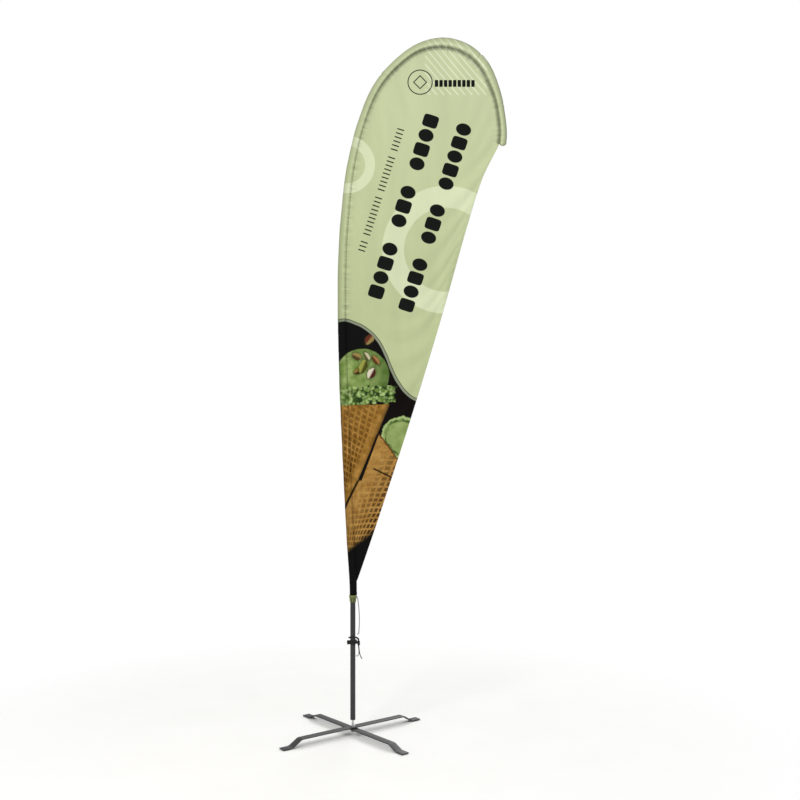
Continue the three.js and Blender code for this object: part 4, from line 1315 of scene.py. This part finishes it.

# %% [markdown]
# The print is done, and the cloth itself comes next. A warp knit has fine ribs of stitches, 24 to the inch. They
# are drawn three times as coarse, so that they show close by. Along every seam the thread pulls the cloth into
# short puckers, which fade out about three centimetres away. They are a bump, with painted light and painted shade
# on them. Painted shade darkens the seam itself, most of all under the tight bow. Painted shade darkens the sleeve a
# little, most on its round outer side, and a painted highlight lies on the pressed fold beside the seam. The UV map
# holds the distance from the seam as U, below zero on the sleeve, and the distance along the seam as V.

# %% Knit, puckers and folds of the cloth
RIBS = 1 / (3.2 * MM)
cloth_uv = put("TexCoord", out="UV")
sleeve_side, seam_way = (put("SeparateXYZ", cloth_uv, out=axis) for axis in ("X", "Y"))
from_seam = put("ABSOLUTE", sleeve_side)
stitches = all_of(folded(print_tree, print_x, RIBS), folded(print_tree, seam_way, RIBS))
pull = put("TexNoise", W=seam_way, Scale=45.0, Detail=3.0, noise_dimensions="1D")
fading = put("MapRange", from_seam, 0.0, 0.035, 1.0, 0.0, interpolation_type="SMOOTHSTEP")
relief = put("MULTIPLY_ADD", all_of(pull, fading), 10.0, put("MULTIPLY", stitches, 0.5))
# deep is how dark the painted shade in the seam gets: slight low down, darkest under the tight bow
deep = put("MapRange", seam_way, 2.75, 3.25, 0.96, 0.45)
outer_shade = put("MapRange", sleeve_side, -0.048, -0.027, 0.62, 0.88)
shade = all_of(
    put("MapRange", grain_of(5.0, 4.0, (1.7, 1, 0.28)), 0.3, 0.7, 0.935, 1.045),
    # painted shade in the seam
    put("MapRange", from_seam, 0.003, 0.019, deep, 1.0, interpolation_type="SMOOTHSTEP"),
    # painted shade on the sleeve, darkest on its round outer side
    put("MapRange", sleeve_side, -0.003, 0.0, outer_shade, 1.0),
    # painted highlight on the pressed fold beside the seam
    put("MULTIPLY_ADD", within(sleeve_side, -0.024, -0.014, 3 * MM), 0.2, 1.0),
    # painted light and painted shade on the puckers near the seam
    put("MULTIPLY_ADD", put("MapRange", pull, 0.3, 0.7, -0.14, 0.14), fading, 1.0),
)
picture = put("Mix", 1.0, picture, shade, blend_type="MULTIPLY")
wear(print_tree, print_shader, picture, put("MapRange", stitches, 0.0, 0.25, 0.72, 0.88), relief, 0.7 * MM, 0.8)
print("the print has", len(print_tree.nodes), "nodes")

for piece, node in ((sleeve, "pole_sleeve"), (pocket, "tip_pocket"), (panel, "flag_panel"), (hem, "edge_hem")):
    fit(piece, "pole_and_flag", print_knit, node)

# %% [markdown]
# ## The cuff at the foot of the sleeve
#
# A band of yellow-green webbing finishes the sleeve's mouth. It is gathered onto the thinner pole, so it stands in
# soft pleats that close towards the bottom, and two of them cross in front as a V. The cuff is a ring of points
# whose radius swings with the pleats. Its threads are drawn coarser than real ones, so that they show.

# %% Woven binding
THREADS = 1 / (1.6 * MM)
webbing, tree, shader, place = new_finish(
    "woven polyester binding, yellow-green", Roughness=0.8, Sheen_Weight=0.2
)
woven_uv = add(tree, "TexCoord", out="UV")
weave = add(tree, "ADD", *(folded(tree, add(tree, "SeparateXYZ", woven_uv, out=axis), THREADS) for axis in ("X", "Y")))
soil = add(tree, "TexNoise", place, Scale=55.0, Detail=4.0)
fibre = add(tree, "Mix", add(tree, "MapRange", soil, 0.35, 0.65, 0.0, 1.0), "#5a622c", "#7f8749")
# painted shade darkens the gaps between the threads
fibre = add(tree, "Mix", add(tree, "MapRange", weave, 0.1, 0.6, 0.45, 0.0), fibre, "#3c4219")
# painted shade darkens the depth of the two pleats that cross in front
sideways, upwards = (add(tree, "SeparateXYZ", place, out=axis) for axis in ("X", "Z"))
pleat_line = add(tree, "MULTIPLY_ADD", upwards, -0.25, 0.646 * 0.25 - 4 * MM)
pleat_line = add(tree, "ABSOLUTE", add(tree, "ADD", add(tree, "ABSOLUTE", sideways), pleat_line))
pleat_shade = add(tree, "MapRange", pleat_line, 1.2 * MM, 4.5 * MM, 0.9, 0.0)
pleat_shade = add(tree, "MULTIPLY", pleat_shade, add(tree, "MapRange", upwards, 0.664, 0.671, 1.0, 0.0))
wear(tree, shader, add(tree, "Mix", pleat_shade, fibre, "#262b0a"), height=weave, depth=0.4 * MM)

# %% Make the cuff
CUFF_FOOT, CUFF_TOP, AROUND = 644, 679, 97
angle = np.linspace(0, 2 * math.pi, AROUND)
turn = np.append(angle[:-1], 0)[None]
# The section goes from the inside over the lower edge, up the outside and over the upper edge.
cuff_z = np.array([
    660, 654, 648.5, 644.6, CUFF_FOOT, 644.4, 646, 649, 653, 657, 661, 665, 668.5, 671.5, 674, 676, 678, CUFF_TOP,
    679.6, 679, 676,
])
reach = np.interp(cuff_z, [CUFF_FOOT, 660, 674, CUFF_TOP], [14.6, 16.4, 18.6, 17.6])
reach[:4] -= (0.9, 0.9, 0.9, 0.5)
reach[-2:] -= (0.7, 1.0)
pleat = 0.5 * np.sin(9 * turn + 1.2 * np.sin(2 * turn)) + 0.35 * np.sin(17 * turn + 1)
front = (turn - 1.5 * math.pi) * 17
cross = 0
for way in (-1, 1):
    line = front * way - 4 - (cuff_z[:, None] - 646) * 0.25
    cross = cross + 0.9 * bell(line, 2.8, 1.6) - 1.6 * bell(line, 0, 1.7)
cross = cross * bell(front, 0, 9)
slack = np.interp(cuff_z, [CUFF_FOOT, 659, 672, CUFF_TOP], [0.45, 1.0, 0.8, 0.3])[:, None]
calm = np.where(np.arange(len(cuff_z)) < 4, 0.3, 1)[:, None]
radius = reach[:, None] + (pleat * slack + cross) * calm
drift = 0.6 * (cuff_z[:, None] - CUFF_FOOT) / (CUFF_TOP - CUFF_FOOT)
height = np.repeat(cuff_z[:, None], AROUND, 1)
rings = np.stack([radius * np.cos(turn) + drift, radius * np.sin(turn), height], axis=-1) * MM
spots = np.stack(np.broadcast_arrays(angle[None] * 17 * MM, run_of(rings[:, 0])[:, None]), axis=-1)
cuff = fit(skin("gathered_cuff", rings, spots), "pole_and_flag", webbing, "sleeve_cuff")
print("cuff:", len(cuff.data.polygons), "faces")

# %% [markdown]
# ## The black tie
#
# A black bungee is wound round the pole below the flag, and the flag's hook can catch on it. It has three close
# turns, one loose turn that climbs over the front to the right, and a knot at each side. Each turn is a tube of the
# same braid. The knots are half hitches: a short tube curled over itself, which is what a real one is.


# %% Wind the tie
def around_pole(radius, angle, z):
    """Points round the pole's axis, in metres, from measures in mm."""
    return np.stack(np.broadcast_arrays(radius * np.cos(angle), radius * np.sin(angle), z), axis=-1) * MM


def hitch(name, centre, size, lean, radius):
    """A cord curled over itself inside an egg of the given half sizes, in mm."""
    t = np.linspace(0, 1, 90)
    a = 2 * math.pi * 2.25 * t + lean
    swing = np.sin(2 * math.pi * 1.5 * t + lean)
    inner = np.array(size) - radius
    line = np.stack([inner[0] * swing * 0.9, inner[1] * np.cos(a), inner[2] * np.sin(a)], axis=-1)
    return tube(name, (line + centre) * MM, radius * MM)


TURNS, POINTS_A_TURN = 3, 48
t = np.linspace(0, 1, POINTS_A_TURN * TURNS + 1)
band = tube("tie_turns", around_pole(16.9, 0.6 + 2 * math.pi * TURNS * t, 441 + 16.4 * t), 3.9 * MM, sides=12)
# degrees round the pole, and how far out and how far up the loose turn is there
LOOSE_TURN = np.array([
    (75, 0, 0.5), (110, 0, 1.5), (145, 0, 3.5), (180, 0.2, 6), (215, 0.3, 8.5), (250, 0.4, 10.5), (285, 1, 11.5),
    (315, 3.5, 10), (336, 7.2, 5.5), (347, 9.6, 0.8), (352, 10.5, -5),
])
round_it, out, up = LOOSE_TURN.T
loose_turn = tube("tie_loose_turn", smooth_line(around_pole(17.6 + out, np.radians(round_it), 465.5 + up), 8), 4.1 * MM)
right_knot = hitch("tie_hitch_right", (27.6, -3, 445.5), (8, 9, 11.5), 0.4, 3.9)
left_knot = hitch("tie_hitch_left", (-23.4, -3, 449), (5.2, 8, 11), 1.9, 3.4)
for piece, node in (
    (band, "tie_band"), (loose_turn, "tie_strand"), (right_knot, "tie_knot_right"), (left_knot, "tie_knot_left"),
):
    fit(piece, "tie", black_braid, node)
    print(piece.name, len(piece.data.polygons), "faces")

# %% [markdown]
# ## Floor and light
#
# A product studio has a white sweep that fades out behind the object. The floor here is a pale disc that keeps its
# tone near the base, so that it can take a soft shadow, and turns clear further out. The surround is white where
# it is seen and a little dimmer where it lights, which leaves room for one large soft lamp at the upper left, a
# weak one at the right and one behind, to model the round sleeve and the pole.

# %% The floor
take_up(None)
bpy.ops.mesh.primitive_circle_add(vertices=96, radius=2.6, location=(0, 0, -0.5 * MM), fill_type="NGON")
floor = settle(bpy.context.object, "studio_floor")
floor_paper, tree, shader, place = new_finish("matte studio paper, white", Roughness=0.95, Specular_IOR_Level=0.1)
mottle = add(tree, "TexNoise", place, Scale=3.0, Detail=3.0)
wear(tree, shader, add(tree, "Mix", mottle, "#f1f1ef", "#f7f7f6"))
from_middle = add(tree, "VectorMath", place, operation="LENGTH", out="Value")
fading = add(tree, "MapRange", from_middle, 0.75, 2.4, 1.0, 0.0, interpolation_type="SMOOTHSTEP")
tree.links.new(fading, shader.inputs["Alpha"])
coat(floor, floor_paper)

# %% Lamps and surround
LIT_POINT = Vector((0.2, 0, 1.7))
for name, place, size, power, colour in (
    ("key", (-2.4, -4.6, 4.9), 2.4, 230, "#fffdf8"),
    ("fill", (4.2, -3.6, 2.4), 2.6, 50, "#f6f9ff"),
    ("back", (1.5, 4.5, 4.2), 3.0, 130, "#ffffff"),
):
    lamp = bpy.data.lights.new(name, "AREA")
    lamp.size = size
    lamp.energy = power
    lamp.color = linear(colour)[:3]
    light = link(name, lamp)
    light.location = place
    light.rotation_euler = (LIT_POINT - Vector(place)).to_track_quat("-Z", "Y").to_euler()

world = bpy.data.worlds.new("white surround")
world.use_nodes = True
surround = world.node_tree.nodes["Background"]
surround.inputs["Color"].default_value = linear("#ffffff")
seen = add(world.node_tree, "LightPath", out="Is Camera Ray")
world.node_tree.links.new(add(world.node_tree, "MapRange", seen, 0.0, 1.0, 0.55, 1.0), surround.inputs["Strength"])
bpy.context.scene.world = world
bpy.context.scene.view_settings.view_transform = "Standard"
